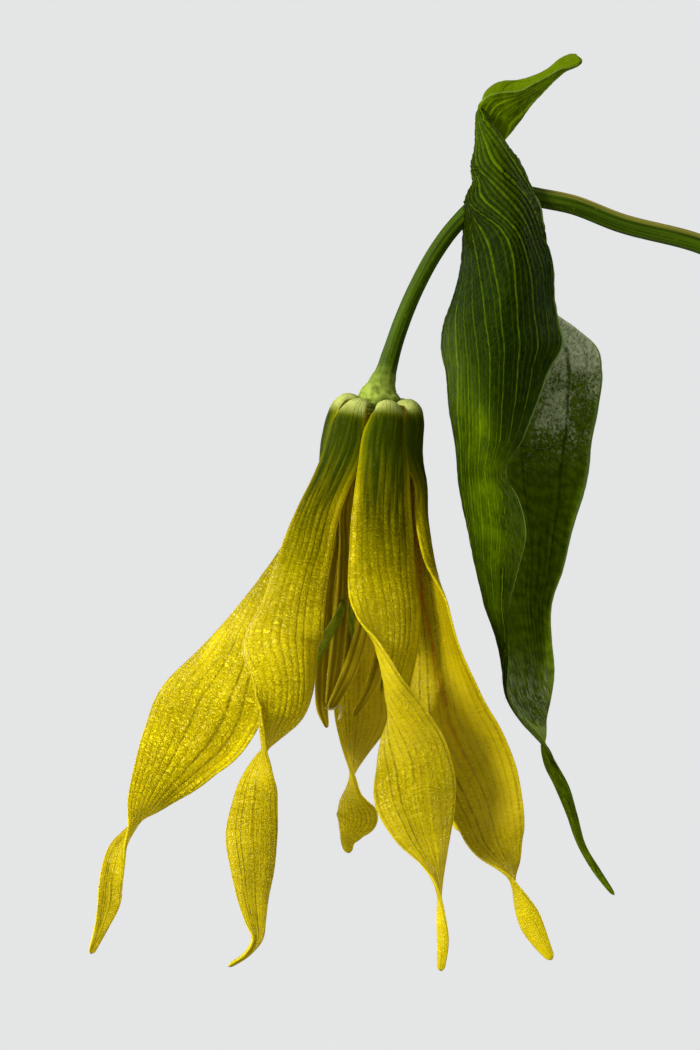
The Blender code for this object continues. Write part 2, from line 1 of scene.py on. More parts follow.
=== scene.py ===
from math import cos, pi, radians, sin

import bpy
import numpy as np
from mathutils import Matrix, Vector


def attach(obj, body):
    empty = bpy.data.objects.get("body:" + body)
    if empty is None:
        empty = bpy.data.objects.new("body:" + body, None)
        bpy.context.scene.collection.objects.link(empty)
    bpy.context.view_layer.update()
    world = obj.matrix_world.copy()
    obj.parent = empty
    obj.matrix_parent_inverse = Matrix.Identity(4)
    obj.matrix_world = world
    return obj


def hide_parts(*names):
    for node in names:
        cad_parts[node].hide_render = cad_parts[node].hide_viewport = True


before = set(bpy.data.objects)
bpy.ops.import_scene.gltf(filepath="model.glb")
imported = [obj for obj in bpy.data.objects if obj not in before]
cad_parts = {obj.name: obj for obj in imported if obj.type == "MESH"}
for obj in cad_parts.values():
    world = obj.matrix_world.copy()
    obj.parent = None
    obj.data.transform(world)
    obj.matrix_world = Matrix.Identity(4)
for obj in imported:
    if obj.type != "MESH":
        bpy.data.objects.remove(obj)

# A nodding bellwort flower and its folded leaf, on a cut stem in a bottle of water.
# Tables are in millimetres, measured from the flower's base or the bottle's foot, and
# MM turns them into metres. Every piece is one grown or blown thing of its own.

MM = 0.001
FLOWER_AT = (-59.0, 0.0, 135.0)  # where the tepals join the receptacle
FLOWER_SHIFT = -0.25  # how far the flower's axis passes from that point, along X
FLOWER_TILT = 0.15  # and drifts this far to -X for each mm down
TEPAL_THICKNESS = 0.32
LEAF_THICKNESS = 0.32
ANTHER_THICKNESS = 0.36
TORN_SKIN_THICKNESS = 0.08
VEINS_PER_TEPAL = 11

# Points along and across each kind of sheet.
TEPAL_GRID = (300, 81)
LEAF_GRID = (330, 121)
LOBE_GRID = (110, 61)
ANTHER_GRID = (160, 33)
TORN_SKIN_GRID = (40, 17)

BOTTLE_HEIGHT = 105.0
BODY_RADIUS = 25.0
NECK_RADIUS = 10.5
MOUTH_RADIUS = 7.0
GLASS_WALL = 2.2
GLASS_BASE = 4.0
WATER_LEVEL = 66.0
SHOULDER_LOW = 66.0
SHOULDER_HIGH = 86.0
BORE_FOOT = 92.0  # where the mouth's straight bore starts, above the wider neck
FOOT_CORNER = 3.5
LIP_RADIUS = 12.4
LIP_HEIGHT = 6.0
LIP_CORNER = 1.6
MOUTH_CORNER = 1.0
MENISCUS = 1.1

PALE = (0.78, 0.785, 0.79)  # the background
FLOWER_CENTRE = (-0.06, 0.0, 0.118)  # where the lamps point, in metres
# Each lamp's name, place in metres, size, power and colour.
LAMPS = [
    ("key", (-0.6, -0.5, 0.44), 0.2, 8.8, (1.0, 0.99, 0.95)),
    ("left", (-0.8, 0.0, 0.3), 0.3, 3.0, (1.0, 1.0, 1.0)),
    ("right", (0.55, 0.22, 0.45), 0.35, 5.0, (1.0, 0.99, 0.96)),
    ("back_left", (-0.45, 0.5, 0.2), 0.35, 2.0, (1.0, 1.0, 1.0)),
    ("front", (0.3, -0.9, 0.25), 0.6, 1.3, (1.0, 1.0, 1.0)),
]
CAMERA_AT = (-0.06156, -0.5, 0.1246)
VIEW_HEIGHT = 84.0  # what the camera takes in from top to bottom at the flower, in mm
VIEW_DISTANCE = 500.0  # from the camera to the flower, in mm

# Each tepal's direction round the flower, how far its dome reaches out compared with
# DOME, how far its dome's width turns in, and how much higher its dome stands.
DOMES = {
    "tepal_front": (-74, 1.1, 0, 0.0),
    "tepal_front_left": (-128, 1.0, 8, 0.15),
    "tepal_left": (172, 0.97, 0, 0.6),
    "tepal_right": (-20, 1.03, 0, 0.1),
    "tepal_back": (106, 1.0, 0, 0.6),
    "tepal_back_right": (41, 1.0, 0, 0.2),
}

# Each tepal's stations below its dome, down to the tip:
# (x, y, z, half width, compass turn of the width, half angle that the width bends by).
TEPALS = {
    "tepal_front": [
        (0.3, -4.5, -5.2, 2.4, 10, 60),
        (0.15, -4.9, -7.9, 2.7, 8, 60),
        (0.1, -5.5, -11.6, 3.1, 6, 62),
        (0.3, -6.1, -14.6, 3.15, 8, 60),
        (0.65, -6.7, -16.9, 3.1, 14, 50),
        (0.75, -7.2, -19.4, 2.9, 28, 30),
        (0.45, -7.7, -21.5, 2.95, 52, -10),
        (0.35, -8.2, -23.8, 3.2, 88, -50),
        (1.1, -8.7, -26.2, 3.15, 130, -30),
        (2.2, -9.2, -29.1, 3.2, 168, -25),
        (2.7, -9.5, -31.8, 3.4, 186, -28),
        (3.3, -9.8, -34.3, 2.6, 192, -28),
        (4.0, -10.1, -36.7, 1.2, 202, -15),
        (4.3, -10.3, -38.5, 0.6, 240, 20),
        (4.5, -10.6, -40.7, 0.5, 300, 20),
        (4.7, -10.8, -42.9, 0.5, 335, 20),
        (4.55, -11.0, -45.3, 0.3, 350, 20),
    ],
    "tepal_front_left": [
        (-4.5, -3.4, -6.8, 2.15, -30, 58),
        (-5.25, -3.8, -8.4, 2.3, -30, 58),
        (-5.85, -4.2, -10.0, 2.45, -28, 58),
        (-6.4, -4.6, -12.0, 2.7, -24, 58),
        (-7.15, -5.1, -14.4, 3.1, -26, 60),
        (-7.75, -5.7, -16.8, 3.45, -24, 60),
        (-8.15, -6.3, -19.5, 3.75, -8, 54),
        (-7.7, -6.7, -21.4, 3.05, 6, 50),
        (-7.5, -7.1, -23.2, 2.65, 16, 46),
        (-7.8, -7.5, -25.1, 2.45, 32, 42),
        (-8.65, -7.8, -26.8, 2.2, 54, 40),
        (-9.3, -8.1, -28.3, 1.6, 90, 30),
        (-9.7, -8.35, -29.6, 1.5, 130, 0),
        (-10.0, -8.5, -31.0, 1.8, 156, -28),
        (-10.2, -8.7, -32.5, 2.0, 167, -35),
        (-10.3, -9.0, -34.3, 2.2, 178, -38),
        (-10.15, -9.4, -37.4, 1.85, 188, -36),
        (-10.1, -9.7, -39.6, 1.35, 195, -30),
        (-9.95, -9.9, -41.4, 0.9, 200, -15),
        (-9.85, -10.0, -42.8, 0.5, 205, 28),
        (-10.5, -10.1, -43.9, 0.28, 210, 20),
        (-12.1, -10.2, -45.0, 0.2, 215, 20),
    ],
    "tepal_left": [
        (-5.1, 0.9, -6.6, 2.1, -92, 58),
        (-6.3, 1.2, -9.4, 2.5, -85, 55),
        (-7.8, 1.4, -12.2, 2.9, -75, 50),
        (-9.6, 1.4, -15.2, 3.5, -64, 46),
        (-11.1, 1.4, -18.2, 4.5, -52, 43),
        (-12.5, 1.3, -21.2, 5.3, -40, 40),
        (-13.95, 1.1, -24.0, 5.7, -28, 40),
        (-15.1, 0.9, -26.6, 5.0, -16, 38),
        (-16.6, 0.6, -29.0, 3.6, -4, 38),
        (-17.85, 0.3, -31.0, 2.45, 10, 38),
        (-19.05, 0.2, -33.0, 1.6, 36, 36),
        (-19.85, 0.1, -34.7, 1.1, 88, 60),
        (-20.95, 0.0, -36.4, 1.05, 138, 45),
        (-21.6, 0.0, -38.6, 1.0, 170, 28),
        (-21.85, 0.0, -40.6, 0.95, 182, 25),
        (-22.4, 0.0, -42.4, 0.6, 188, 20),
        (-23.3, 0.0, -44.7, 0.25, 190, 20),
    ],
    "tepal_right": [
        (3.3, -0.9, -6.8, 2.1, 106, 58),
        (3.35, -1.7, -10.0, 2.2, 113, 58),
        (3.5, -2.2, -12.0, 2.5, 118, 56),
        (3.75, -2.6, -14.3, 2.9, 123, 53),
        (3.95, -3.0, -16.3, 3.32, 127, 43),
        (4.6, -3.6, -21.0, 3.62, 137, 37),
        (4.9, -3.9, -23.4, 3.82, 148, 34),
        (5.35, -4.2, -25.8, 3.94, 158, 31),
        (6.3, -4.5, -28.2, 4.0, 168, 34),
        (7.5, -4.8, -30.7, 3.6, 175, 34),
        (8.25, -5.0, -32.8, 3.1, 182, 35),
        (9.0, -5.1, -35.6, 2.4, 195, 38),
        (9.8, -5.1, -37.4, 1.4, 222, 40),
        (10.2, -5.1, -38.5, 0.9, 262, 35),
        (10.8, -5.1, -40.0, 1.0, 305, 30),
        (11.5, -5.1, -41.5, 1.05, 335, 28),
        (12.3, -5.3, -43.0, 0.8, 350, 25),
        (13.4, -5.5, -44.8, 0.3, 355, 20),
    ],
    "tepal_back": [
        (-1.6, 5.0, -7.6, 1.85, 188, 55),
        (-1.7, 6.4, -12.4, 2.4, 190, 50),
        (-1.9, 7.9, -17.2, 2.6, 194, 45),
        (-1.9, 9.3, -22.1, 2.5, 200, 40),
        (-1.9, 9.9, -26.4, 2.6, 208, 38),
        (-2.15, 10.3, -27.9, 2.2, 222, 36),
        (-2.35, 10.7, -29.4, 1.65, 242, 35),
        (-2.45, 11.0, -30.7, 1.25, 268, 35),
        (-2.45, 11.4, -32.1, 1.05, 300, 32),
        (-2.35, 11.8, -33.3, 1.6, 328, 34),
        (-2.15, 12.1, -34.5, 1.9, 342, 34),
        (-2.5, 12.25, -35.6, 1.1, 348, 25),
        (-2.75, 12.3, -36.4, 0.6, 350, 25),
        (-2.65, 12.4, -37.3, 0.3, 355, 20),
    ],
    "tepal_back_right": [
        (2.5, 3.6, -7.0, 1.8, 125, 56),
        (3.0, 4.6, -11.8, 2.0, 128, 52),
        (3.5, 5.6, -16.6, 2.3, 134, 46),
        (4.3, 6.8, -21.4, 2.4, 150, 42),
        (5.0, 8.3, -26.0, 2.3, 185, 36),
        (5.8, 9.1, -30.0, 1.4, 245, 30),
        (6.2, 9.7, -33.0, 1.3, 315, 30),
        (6.4, 10.1, -35.4, 0.4, 345, 20),
    ],
}

# How a tepal's pouched base rises from the receptacle and turns down:
# (distance from the axis, height, half width, cup).
DOME = [
    (1.25, -1.15, 0.35, 30),
    (1.9, -0.7, 0.75, 46),
    (2.7, -0.6, 1.1, 60),
    (3.4, -1.1, 1.4, 66),
    (3.8, -2.2, 1.85, 64),
    (3.95, -3.8, 2.2, 60),
]

# The leaf below its lobe, as level cuts: the height, then x and y at the front margin,
# the middle of the front half, the fold, the midrib, the middle of the back half and
# the back margin.
LEAF = [
    (22.8, (8.0, -0.8), (7.9, -1.3), (7.8, -0.5), (7.8, 0.8), (8.0, 1.3), (8.2, 1.0)),
    (21.6, (8.8, -1.0), (8.3, -1.9), (7.8, -0.5), (7.8, 1.2), (8.2, 2.0), (8.8, 1.6)),
    (20.0, (9.8, -1.2), (9.0, -2.4), (7.75, -0.6), (7.8, 1.5), (8.4, 2.5), (9.2, 2.4)),
    (18.2, (11.1, -1.6), (9.5, -2.9), (7.42, -0.7), (7.7, 1.8), (8.5, 3.0), (9.7, 3.0)),
    (17.0, (11.7, -1.7), (9.8, -3.1), (7.62, -0.7), (7.8, 1.8), (8.6, 3.1), (10.0, 3.1)),
    (15.6, (12.3, -1.9), (10.1, -3.4), (7.0, -0.9), (7.5, 1.9), (8.6, 3.3), (10.4, 3.4)),
    (12.8, (13.0, -2.0), (10.4, -4.0), (7.05, -1.0), (7.2, 2.0), (8.8, 3.9), (11.2, 4.2)),
    (10.0, (13.7, -2.2), (10.2, -4.4), (6.75, -1.0), (7.0, 2.3), (9.0, 4.4), (12.2, 4.9)),
    (7.2, (13.8, -2.2), (9.9, -4.6), (6.0, -1.0), (6.4, 2.6), (9.4, 5.0), (13.5, 5.3)),
    (5.6, (14.1, -2.2), (9.7, -4.6), (5.5, -1.0), (6.0, 2.7), (10.2, 5.2), (15.6, 4.6)),
    (4.0, (14.4, -2.4), (9.5, -4.8), (5.3, -1.1), (5.9, 2.7), (10.8, 5.3), (17.3, 3.6)),
    (2.0, (13.4, -2.8), (9.1, -4.8), (5.6, -1.2), (6.2, 2.7), (11.1, 5.4), (17.7, 2.8)),
    (-0.8, (12.3, -3.2), (8.7, -4.6), (5.85, -1.2), (6.4, 2.6), (11.0, 5.2), (17.45, 2.4)),
    (-3.6, (11.2, -3.4), (8.5, -4.4), (6.1, -1.2), (6.7, 2.5), (11.1, 4.9), (16.9, 2.2)),
    (-6.2, (9.8, -3.6), (8.1, -4.2), (6.2, -1.2), (7.1, 2.4), (11.1, 4.5), (16.6, 2.0)),
    (-8.4, (10.9, -2.6), (8.4, -4.0), (6.5, -1.2), (7.6, 2.3), (11.3, 4.1), (16.1, 1.8)),
    (-11.2, (11.4, -2.0), (9.0, -3.6), (7.1, -1.1), (8.3, 2.1), (11.6, 3.6), (15.15, 1.5)),
    (-14.0, (10.8, -1.8), (9.2, -3.0), (7.6, -1.0), (9.0, 1.8), (11.8, 3.1), (14.5, 1.2)),
    (-16.8, (10.2, -1.6), (9.3, -2.3), (8.3, -0.8), (9.7, 1.5), (11.7, 2.5), (13.6, 1.0)),
    (-19.6, (10.0, -1.4), (9.7, -1.8), (9.3, -0.6), (10.4, 1.1), (12.0, 1.9), (13.6, 0.8)),
    (-22.0, (10.0, -1.3), (9.8, -1.0), (9.9, -0.3), (11.0, 0.9), (12.3, 1.4), (13.8, 0.6)),
    (-24.0, (10.0, -1.2), (10.0, -0.8), (10.2, 0.0), (11.5, 0.7), (12.6, 1.0), (13.6, 0.4)),
    (-26.0, (11.1, -1.3), (11.3, -0.8), (11.6, -0.1), (12.1, 0.4), (12.7, 0.7), (13.2, 0.7)),
    (-27.2, (12.2, -1.2), (12.4, -0.7), (12.6, -0.2), (12.8, 0.2), (13.0, 0.6), (13.1, 0.9)),
    (-28.2, (13.2, -0.9), (13.1, -0.6), (13.1, -0.3), (13.0, 0.0), (12.9, 0.4), (12.9, 0.8)),
    (-29.4, (13.8, -0.4), (13.7, -0.5), (13.6, -0.5), (13.4, -0.3), (13.2, 0.0), (13.0, 0.3)),
    (-31.2, (14.8, 0.0), (14.7, -0.3), (14.5, -0.5), (14.3, -0.5), (14.1, -0.3), (13.8, 0.0)),
    (-33.5, (15.5, 0.0), (15.4, -0.3), (15.3, -0.4), (15.2, -0.4), (15.0, -0.3), (14.8, 0.0)),
    (-36.0, (16.2, 0.0), (16.1, -0.2), (16.1, -0.3), (16.0, -0.3), (15.9, -0.2), (15.7, 0.0)),
    (-38.0, (17.3, 0.0), (17.3, -0.1), (17.2, -0.2), (17.1, -0.2), (17.0, -0.1), (16.9, 0.0)),
    (-40.0, (18.6, 0.0), (18.6, 0.0), (18.6, -0.1), (18.5, -0.1), (18.5, 0.0), (18.5, 0.0)),
]

# The leaf's rolled lobe above the stem: x, y and z at its near margin, keel and far margin.
LOBE = [
    ((7.9, 0.1, 21.4), (8.6, 2.2, 18.6), (8.3, 4.2, 21.0)),
    ((7.8, -0.2, 23.4), (9.7, 1.0, 20.5), (8.1, 2.6, 24.0)),
    ((8.6, -0.8, 24.0), (10.4, 1.0, 21.5), (8.6, 2.6, 24.8)),
    ((9.8, -1.1, 24.2), (11.3, 1.0, 22.6), (9.6, 2.8, 25.3)),
    ((11.0, -1.1, 24.4), (12.1, 1.0, 23.6), (11.0, 2.7, 25.5)),
    ((12.2, -0.9, 24.9), (13.0, 0.9, 24.6), (12.2, 2.3, 25.7)),
    ((13.4, -0.6, 25.5), (13.8, 0.8, 25.4), (13.3, 1.9, 26.3)),
    ((14.5, -0.4, 26.1), (14.7, 0.7, 26.1), (14.3, 1.6, 27.1)),
    ((15.2, -0.4, 26.25), (15.4, 0.6, 26.5), (15.0, 1.5, 27.35)),
    ((15.7, -0.2, 26.5), (16.0, 0.5, 26.9), (15.6, 1.2, 27.3)),
]

# The stem's route from the bottle's floor to the receptacle: (x, y, z, radius).
STEM_ROUTE = [
    (13.2, 0.0, 5.1, 0.78),
    (3.8, 0.0, 54.0, 0.78),
    (-5.5, 0.0, 103.0, 0.78),
    (-8.0, 0.0, 115.0, 0.78),
    (-12.0, 0.0, 127.0, 0.78),
    (-18.2, 0.0, 136.8, 0.78),
    (-25.9, 0.0, 143.3, 0.78),
    (-33.6, 0.0, 147.1, 0.78),
    (-40.0, 0.0, 148.8, 0.78),
    (-44.0, 0.0, 150.3, 0.78),
    (-46.0, 0.0, 150.7, 0.78),
    (-48.4, 0.0, 151.1, 0.72),
    (-50.8, 0.0, 150.6, 0.68),
    (-53.1, 0.0, 148.6, 0.64),
    (-54.6, 0.0, 146.6, 0.64),
    (-56.2, 0.0, 143.7, 0.64),
    (-57.4, 0.0, 140.9, 0.67),
    (-58.3, 0.0, 138.2, 0.74),
    (-58.75, 0.0, 136.6, 0.9),
    (-59.0, 0.0, 135.8, 1.15),
    (-59.15, 0.0, 135.2, 1.5),
    (-59.2, 0.0, 134.75, 1.68),
    (-59.22, 0.0, 134.35, 1.5),
    (-59.25, 0.0, 133.7, 0.8),
]

# Stamens: the compass angle where each filament starts, the turn of its anther's
# width, and (x, y, z, half width) on the anther from its top to its tip.
STAMENS = {
    "stamen_left": (
        190,
        0,
        [
            (-3.6, -0.3, -11.0, 0.35),
            (-4.25, -0.35, -15.5, 0.46),
            (-4.6, -0.4, -19.8, 0.53),
            (-4.8, -0.45, -23.4, 0.58),
            (-4.75, -0.5, -25.2, 0.47),
            (-4.4, -0.5, -26.6, 0.14),
        ],
    ),
    "stamen_mid_left": (
        235,
        0,
        [
            (-3.0, -1.5, -8.8, 0.3),
            (-3.05, -1.7, -12.6, 0.42),
            (-3.2, -1.7, -16.4, 0.55),
            (-3.5, -1.7, -19.8, 0.6),
            (-3.9, -1.7, -23.0, 0.55),
            (-4.25, -1.7, -24.8, 0.3),
        ],
    ),
    "stamen_front": (
        275,
        10,
        [
            (-0.75, -2.3, -14.0, 0.4),
            (-1.35, -2.6, -17.4, 0.52),
            (-2.05, -2.8, -20.4, 0.58),
            (-3.0, -2.9, -22.9, 0.56),
            (-4.15, -3.0, -25.1, 0.36),
        ],
    ),
    "stamen_right": (
        320,
        20,
        [
            (0.3, -0.2, -12.2, 0.35),
            (0.25, -0.5, -17.6, 0.45),
            (-0.15, -1.1, -20.8, 0.52),
            (-0.95, -1.4, -23.4, 0.46),
            (-2.3, -1.6, -25.6, 0.16),
        ],
    ),
    "stamen_back_right": (
        45,
        130,
        [
            (0.8, 2.4, -12.0, 0.4),
            (0.7, 2.6, -16.0, 0.5),
            (0.5, 2.8, -20.0, 0.5),
            (0.1, 3.0, -24.0, 0.2),
        ],
    ),
    "stamen_back": (
        125,
        10,
        [
            (-2.2, 1.5, -11.5, 0.4),
            (-2.55, 1.5, -17.2, 0.5),
            (-2.9, 1.6, -20.4, 0.5),
            (-3.2, 1.6, -23.6, 0.2),
        ],
    ),
}

# The torn skin that curls back from the tip of the front stamen, as a blade's stations.
TORN_SKIN = [
    (-4.55, -3.4, -24.9, 0.1, 60, 20),
    (-4.1, -3.45, -25.05, 0.2, 75, 40),
    (-3.6, -3.5, -24.8, 0.28, 80, 50),
    (-3.3, -3.45, -24.75, 0.26, 100, 60),
    (-3.25, -3.4, -25.2, 0.2, 120, 50),
    (-3.5, -3.35, -25.9, 0.06, 130, 30),
]

# The style's route, and each stigma's from its end: (x, y, z, radius).
STYLE = [
    (-0.4, 0.0, -1.0, 0.45),
    (-0.6, 0.0, -2.4, 0.58),
    (-0.95, -0.1, -4.6, 0.55),
    (-1.2, -0.15, -6.2, 0.32),
    (-2.1, -0.5, -11.0, 0.28),
    (-3.0, -0.8, -16.0, 0.3),
]

STIGMA_START = (-3.0, -0.8, -15.4, 0.25)
STIGMAS = [
    [(-3.35, -2.1, -17.4, 0.34), (-4.35, -2.4, -19.2, 0.42), (-5.35, -2.5, -21.2, 0.3)],
    [(-2.6, -0.6, -17.4, 0.25), (-2.3, -0.5, -19.0, 0.24), (-1.8, -0.6, -20.4, 0.2)],
    [(-3.2, -0.2, -17.2, 0.25), (-3.6, 0.3, -18.8, 0.24), (-4.0, 0.7, -20.0, 0.2)],
]

# How much more a tepal's margins bend inwards, or outwards where negative: the place
# across (0 to 1) where that starts, how far it reaches, and for each height the left and
# right bends in degrees.
CURLS = {
    "tepal_front": (
        0.1,
        0.9,
        [
            (-12, 0, 0),
            (-16, -50, 0),
            (-19.4, -110, 0),
            (-21.5, -120, 0),
            (-24, -60, 0),
            (-28, 0, 0),
        ],
    ),
    "tepal_front_left": (
        0.5,
        0.4,
        [
            (-22.0, 0, 0),
            (-23.8, -20, 0),
            (-25.5, -60, 0),
            (-27.0, -120, 5),
            (-28.4, -80, 5),
            (-29.8, -20, 0),
            (-31.0, 0, 0),
        ],
    ),
    "tepal_left": (
        0.62,
        0.16,
        [
            (-20, 0, 0),
            (-23, 0, -60),
            (-28.5, 0, -70),
            (-31, 0, -40),
            (-33, 0, -20),
            (-34, 0, 0),
        ],
    ),
    "tepal_right": (
        0.1,
        0.9,
        [
            (-3, 0, 0),
            (-7, 50, 0),
            (-11, 55, 0),
            (-14, 35, 0),
            (-17, 0, 0),
        ],
    ),
}

# Long folds in the tepals, ridges or valleys that keep one place across the blade:
# (place across from -1 to 1, width, where it starts and ends along the blade, height).
FOLDS = {
    "tepal_front": [(0.2, 0.2, 32, 40, 0.12), (-0.35, 0.15, 31, 42, -0.1)],
    "tepal_front_left": [(-0.1, 0.25, 38, 47, 0.1)],
    "tepal_left": [(0.2, 0.22, 20, 36, 0.15), (-0.45, 0.2, 20, 34, 0.1)],
    "tepal_right": [(0.35, 0.2, 24, 38, -0.05), (-0.3, 0.2, 22, 38, -0.03)],
}

# Where the leaf's main veins pass, by height: for each of VEIN_NUMBERS its column, from
# 0 at the front margin through 2 at the fold to 5 at the back margin.
VEIN_NUMBERS = [24, 18, 15, 12, 9, 6, 3, 0, -3, -9, -26]
LEAF_VEINS = [
    (22.0, (0.2, 1.0, 1.6, 2.2, 2.4, 2.6, 2.8, 3.0, 3.2, 3.6, 6.0)),
    (18.8, (-0.4, 0.49, 1.22, 1.85, 2.05, 2.2, 2.35, 2.5, 2.7, 3.0, 5.5)),
    (15.6, (-0.5, 0.1, 0.45, 1.06, 1.58, 1.97, 2.02, 2.08, 2.15, 2.4, 5.0)),
    (13.2, (-0.3, 0.05, 0.19, 0.63, 0.99, 1.29, 1.67, 1.92, 2.0, 2.2, 5.0)),
    (7.6, (-0.15, 0.02, 0.1, 0.25, 0.52, 0.83, 1.13, 1.42, 1.62, 1.95, 5.0)),
    (4.0, (-0.15, 0.08, 0.15, 0.25, 0.43, 0.72, 0.97, 1.2, 1.38, 1.72, 5.0)),
    (-0.8, (-0.1, 0.03, 0.06, 0.12, 0.25, 0.5, 0.78, 1.05, 1.27, 1.8, 5.0)),
    (-7.0, (-0.1, 0.04, 0.1, 0.2, 0.34, 0.52, 0.7, 0.95, 1.2, 1.8, 5.0)),
    (-14.0, (-0.2, 0.1, 0.25, 0.4, 0.6, 0.8, 1.0, 1.25, 1.5, 2.0, 5.0)),
]

# ---- Node trees -------------------------------------------------------------------


class Wiring:
    """Adds nodes to one tree. A value is either another node's output or a constant."""

    def __init__(self, tree):
        self.tree = tree

    def add(self, kind, inputs=None, out=0, **settings):
        made = self.tree.nodes.new(kind)
        for name, value in settings.items():
            setattr(made, name, value)
        for socket, value in (inputs or {}).items():
            self.feed(made.inputs[socket], value)
        return made.outputs[out]

    def feed(self, socket, value):
        if isinstance(value, bpy.types.NodeSocket):
            self.tree.links.new(value, socket)
        elif value is not None:
            socket.default_value = value

    def maths(self, operation, *values):
        return self.add("ShaderNodeMath", dict(enumerate(values)), operation=operation)

    def vector(self, operation, *values, out=0):
        inputs = dict(enumerate(values))
        return self.add("ShaderNodeVectorMath", inputs, out, operation=operation)

    def times(self, a, b):
        return self.maths("MULTIPLY", a, b)

    def joined(self, x=0.0, y=0.0, z=0.0):
        return self.add("ShaderNodeCombineXYZ", {0: x, 1: y, 2: z})

    def spread(self, value, low, high, to_low=0.0, to_high=1.0, smooth=True):
        """Value moved from low..high to to_low..to_high, and held at the ends."""
        kind = "SMOOTHSTEP" if smooth else "LINEAR"
        inputs = {"Value": value, "From Min": low, "From Max": high}
        inputs.update({"To Min": to_low, "To Max": to_high})
        return self.add("ShaderNodeMapRange", inputs, interpolation_type=kind)

    def mix(self, factor, a, b, blend="MIX"):
        settings = {"data_type": "RGBA", "blend_type": blend, "clamp_factor": True}
        return self.add("ShaderNodeMix", {0: factor, 6: a, 7: b}, 2, **settings)

    def noise(self, vector, scale, detail=2.0, roughness=0.5, distortion=0.0):
        inputs = {"Vector": vector, "Scale": scale, "Detail": detail}
        inputs.update({"Roughness": roughness, "Distortion": distortion})
        return self.add("ShaderNodeTexNoise", inputs)

    def attribute(self, name, out=2):
        return self.add("ShaderNodeAttribute", out=out, attribute_name=name)

    def group(self, tree, inputs, out):
        made = self.tree.nodes.new("ShaderNodeGroup")
        made.node_tree = tree
        for socket, value in inputs.items():
            self.feed(made.inputs[socket], value)
        return made.outputs[out]


def rgb(red, green, blue):
    """A linear colour from display values of 0 to 255."""
    levels = [value / 255 for value in (red, green, blue)]
    linear = [v / 12.92 if v <= 0.04045 else ((v + 0.055) / 1.055) ** 2.4 for v in levels]
    return (*linear, 1.0)


def shader_group(name, inputs, outputs):
    """An empty shader group, with its input node's outputs and its output node."""
    tree = bpy.data.node_groups.new(name, "ShaderNodeTree")
    for label, kind, value in inputs:
        socket = tree.interface.new_socket(name=label, in_out="INPUT", socket_type=kind)
        if value is not None:
            socket.default_value = value
    for label, kind in outputs:
        tree.interface.new_socket(name=label, in_out="OUTPUT", socket_type=kind)
    start = tree.nodes.new("NodeGroupInput")
    end = tree.nodes.new("NodeGroupOutput")
    return tree, Wiring(tree), start.outputs, end.inputs


def parallel_veins():
    """Thin lines at whole numbers of a coordinate, each of its own strength."""
    number, vector = "NodeSocketFloat", "NodeSocketVector"
    inputs = [("Coordinate", number, 0.0), ("Skin", vector, None), ("Width", number, 0.12)]
    inputs += [("Wander", number, 0.1), ("Weakest", number, 0.3)]
    outputs = [("Line", number), ("Flute", number)]
    tree, w, start, end = shader_group("parallel_veins", inputs, outputs)
    drift = w.maths("SUBTRACT", w.noise(start["Skin"], 0.7, 2), 0.5)
    place = w.maths("MULTIPLY_ADD", drift, start["Wander"], start["Coordinate"])
    nearest = w.maths("ROUND", place)
    away = w.maths("ABSOLUTE", w.maths("SUBTRACT", place, nearest))
    own = w.add("ShaderNodeTexWhiteNoise", {"W": nearest}, noise_dimensions="1D")
    strength = w.spread(own, 0.0, 1.0, start["Weakest"], 1.0, smooth=False)
    broken = w.spread(w.noise(start["Skin"], 1.6, 2), 0.35, 0.6, 0.45, 1.0)
    line = w.spread(away, 0.0, start["Width"], 1.0, 0.0)
    w.feed(end["Line"], w.times(w.times(line, strength), broken))
    w.feed(end["Flute"], w.spread(away, 0.0, 0.5, 0.0, 1.0))
    return tree


def net_veins():
    """A fine net of cross veins between the long ones, and the pillows that it bounds."""
    number, vector = "NodeSocketFloat", "NodeSocketVector"
    inputs = [("Skin", vector, None), ("Stretch", number, 0.6), ("Scale", number, 2.0)]
    inputs += [("Width", number, 0.08)]
    outputs = [("Line", number), ("Pillow", number)]
    tree, w, start, end = shader_group("net_veins", inputs, outputs)
    scaled = w.vector("MULTIPLY", start["Skin"], w.joined(1.0, start["Stretch"], 1.0))
    bent = w.add("ShaderNodeTexNoise", {"Vector": scaled, "Scale": 1.7, "Detail": 2.0}, 1)
    bent = w.vector("SUBTRACT", bent, (0.5, 0.5, 0.5))
    bent = w.vector("MULTIPLY", bent, (0.7, 0.7, 0.0))
    place = w.vector("ADD", scaled, bent)
    inputs = {"Vector": place, "Scale": start["Scale"]}
    edge = w.add("ShaderNodeTexVoronoi", inputs, feature="DISTANCE_TO_EDGE")
    w.feed(end["Line"], w.spread(edge, 0.0, start["Width"], 1.0, 0.0))
    w.feed(end["Pillow"], w.spread(edge, 0.0, 0.35, 0.0, 1.0))
    return tree


VEINS = parallel_veins()
NET = net_veins()


def material(name, color, roughness):
    """A new Principled material, its wiring and its shader."""
    made = bpy.data.materials.new(name)
    made.use_nodes = True
    shader = made.node_tree.nodes["Principled BSDF"]
    w = Wiring(made.node_tree)
    w.feed(shader.inputs["Base Color"], color)
    w.feed(shader.inputs["Roughness"], roughness)
    return made, w, shader


def let_light_through(w, shader, color, weight, normal=None):
    """Adds the glow of light that comes through thin tissue from its far side."""
    glow = w.add("ShaderNodeBsdfTranslucent", {"Color": color, "Normal": normal})
    both = w.add("ShaderNodeMixShader", {0: weight, 1: shader.outputs[0], 2: glow})
    w.tree.links.new(both, w.tree.nodes["Material Output"].inputs["Surface"])


def bump(w, height, depth, strength):
    inputs = {"Height": height, "Distance": depth, "Strength": strength}
    return w.add("ShaderNodeBump", inputs)


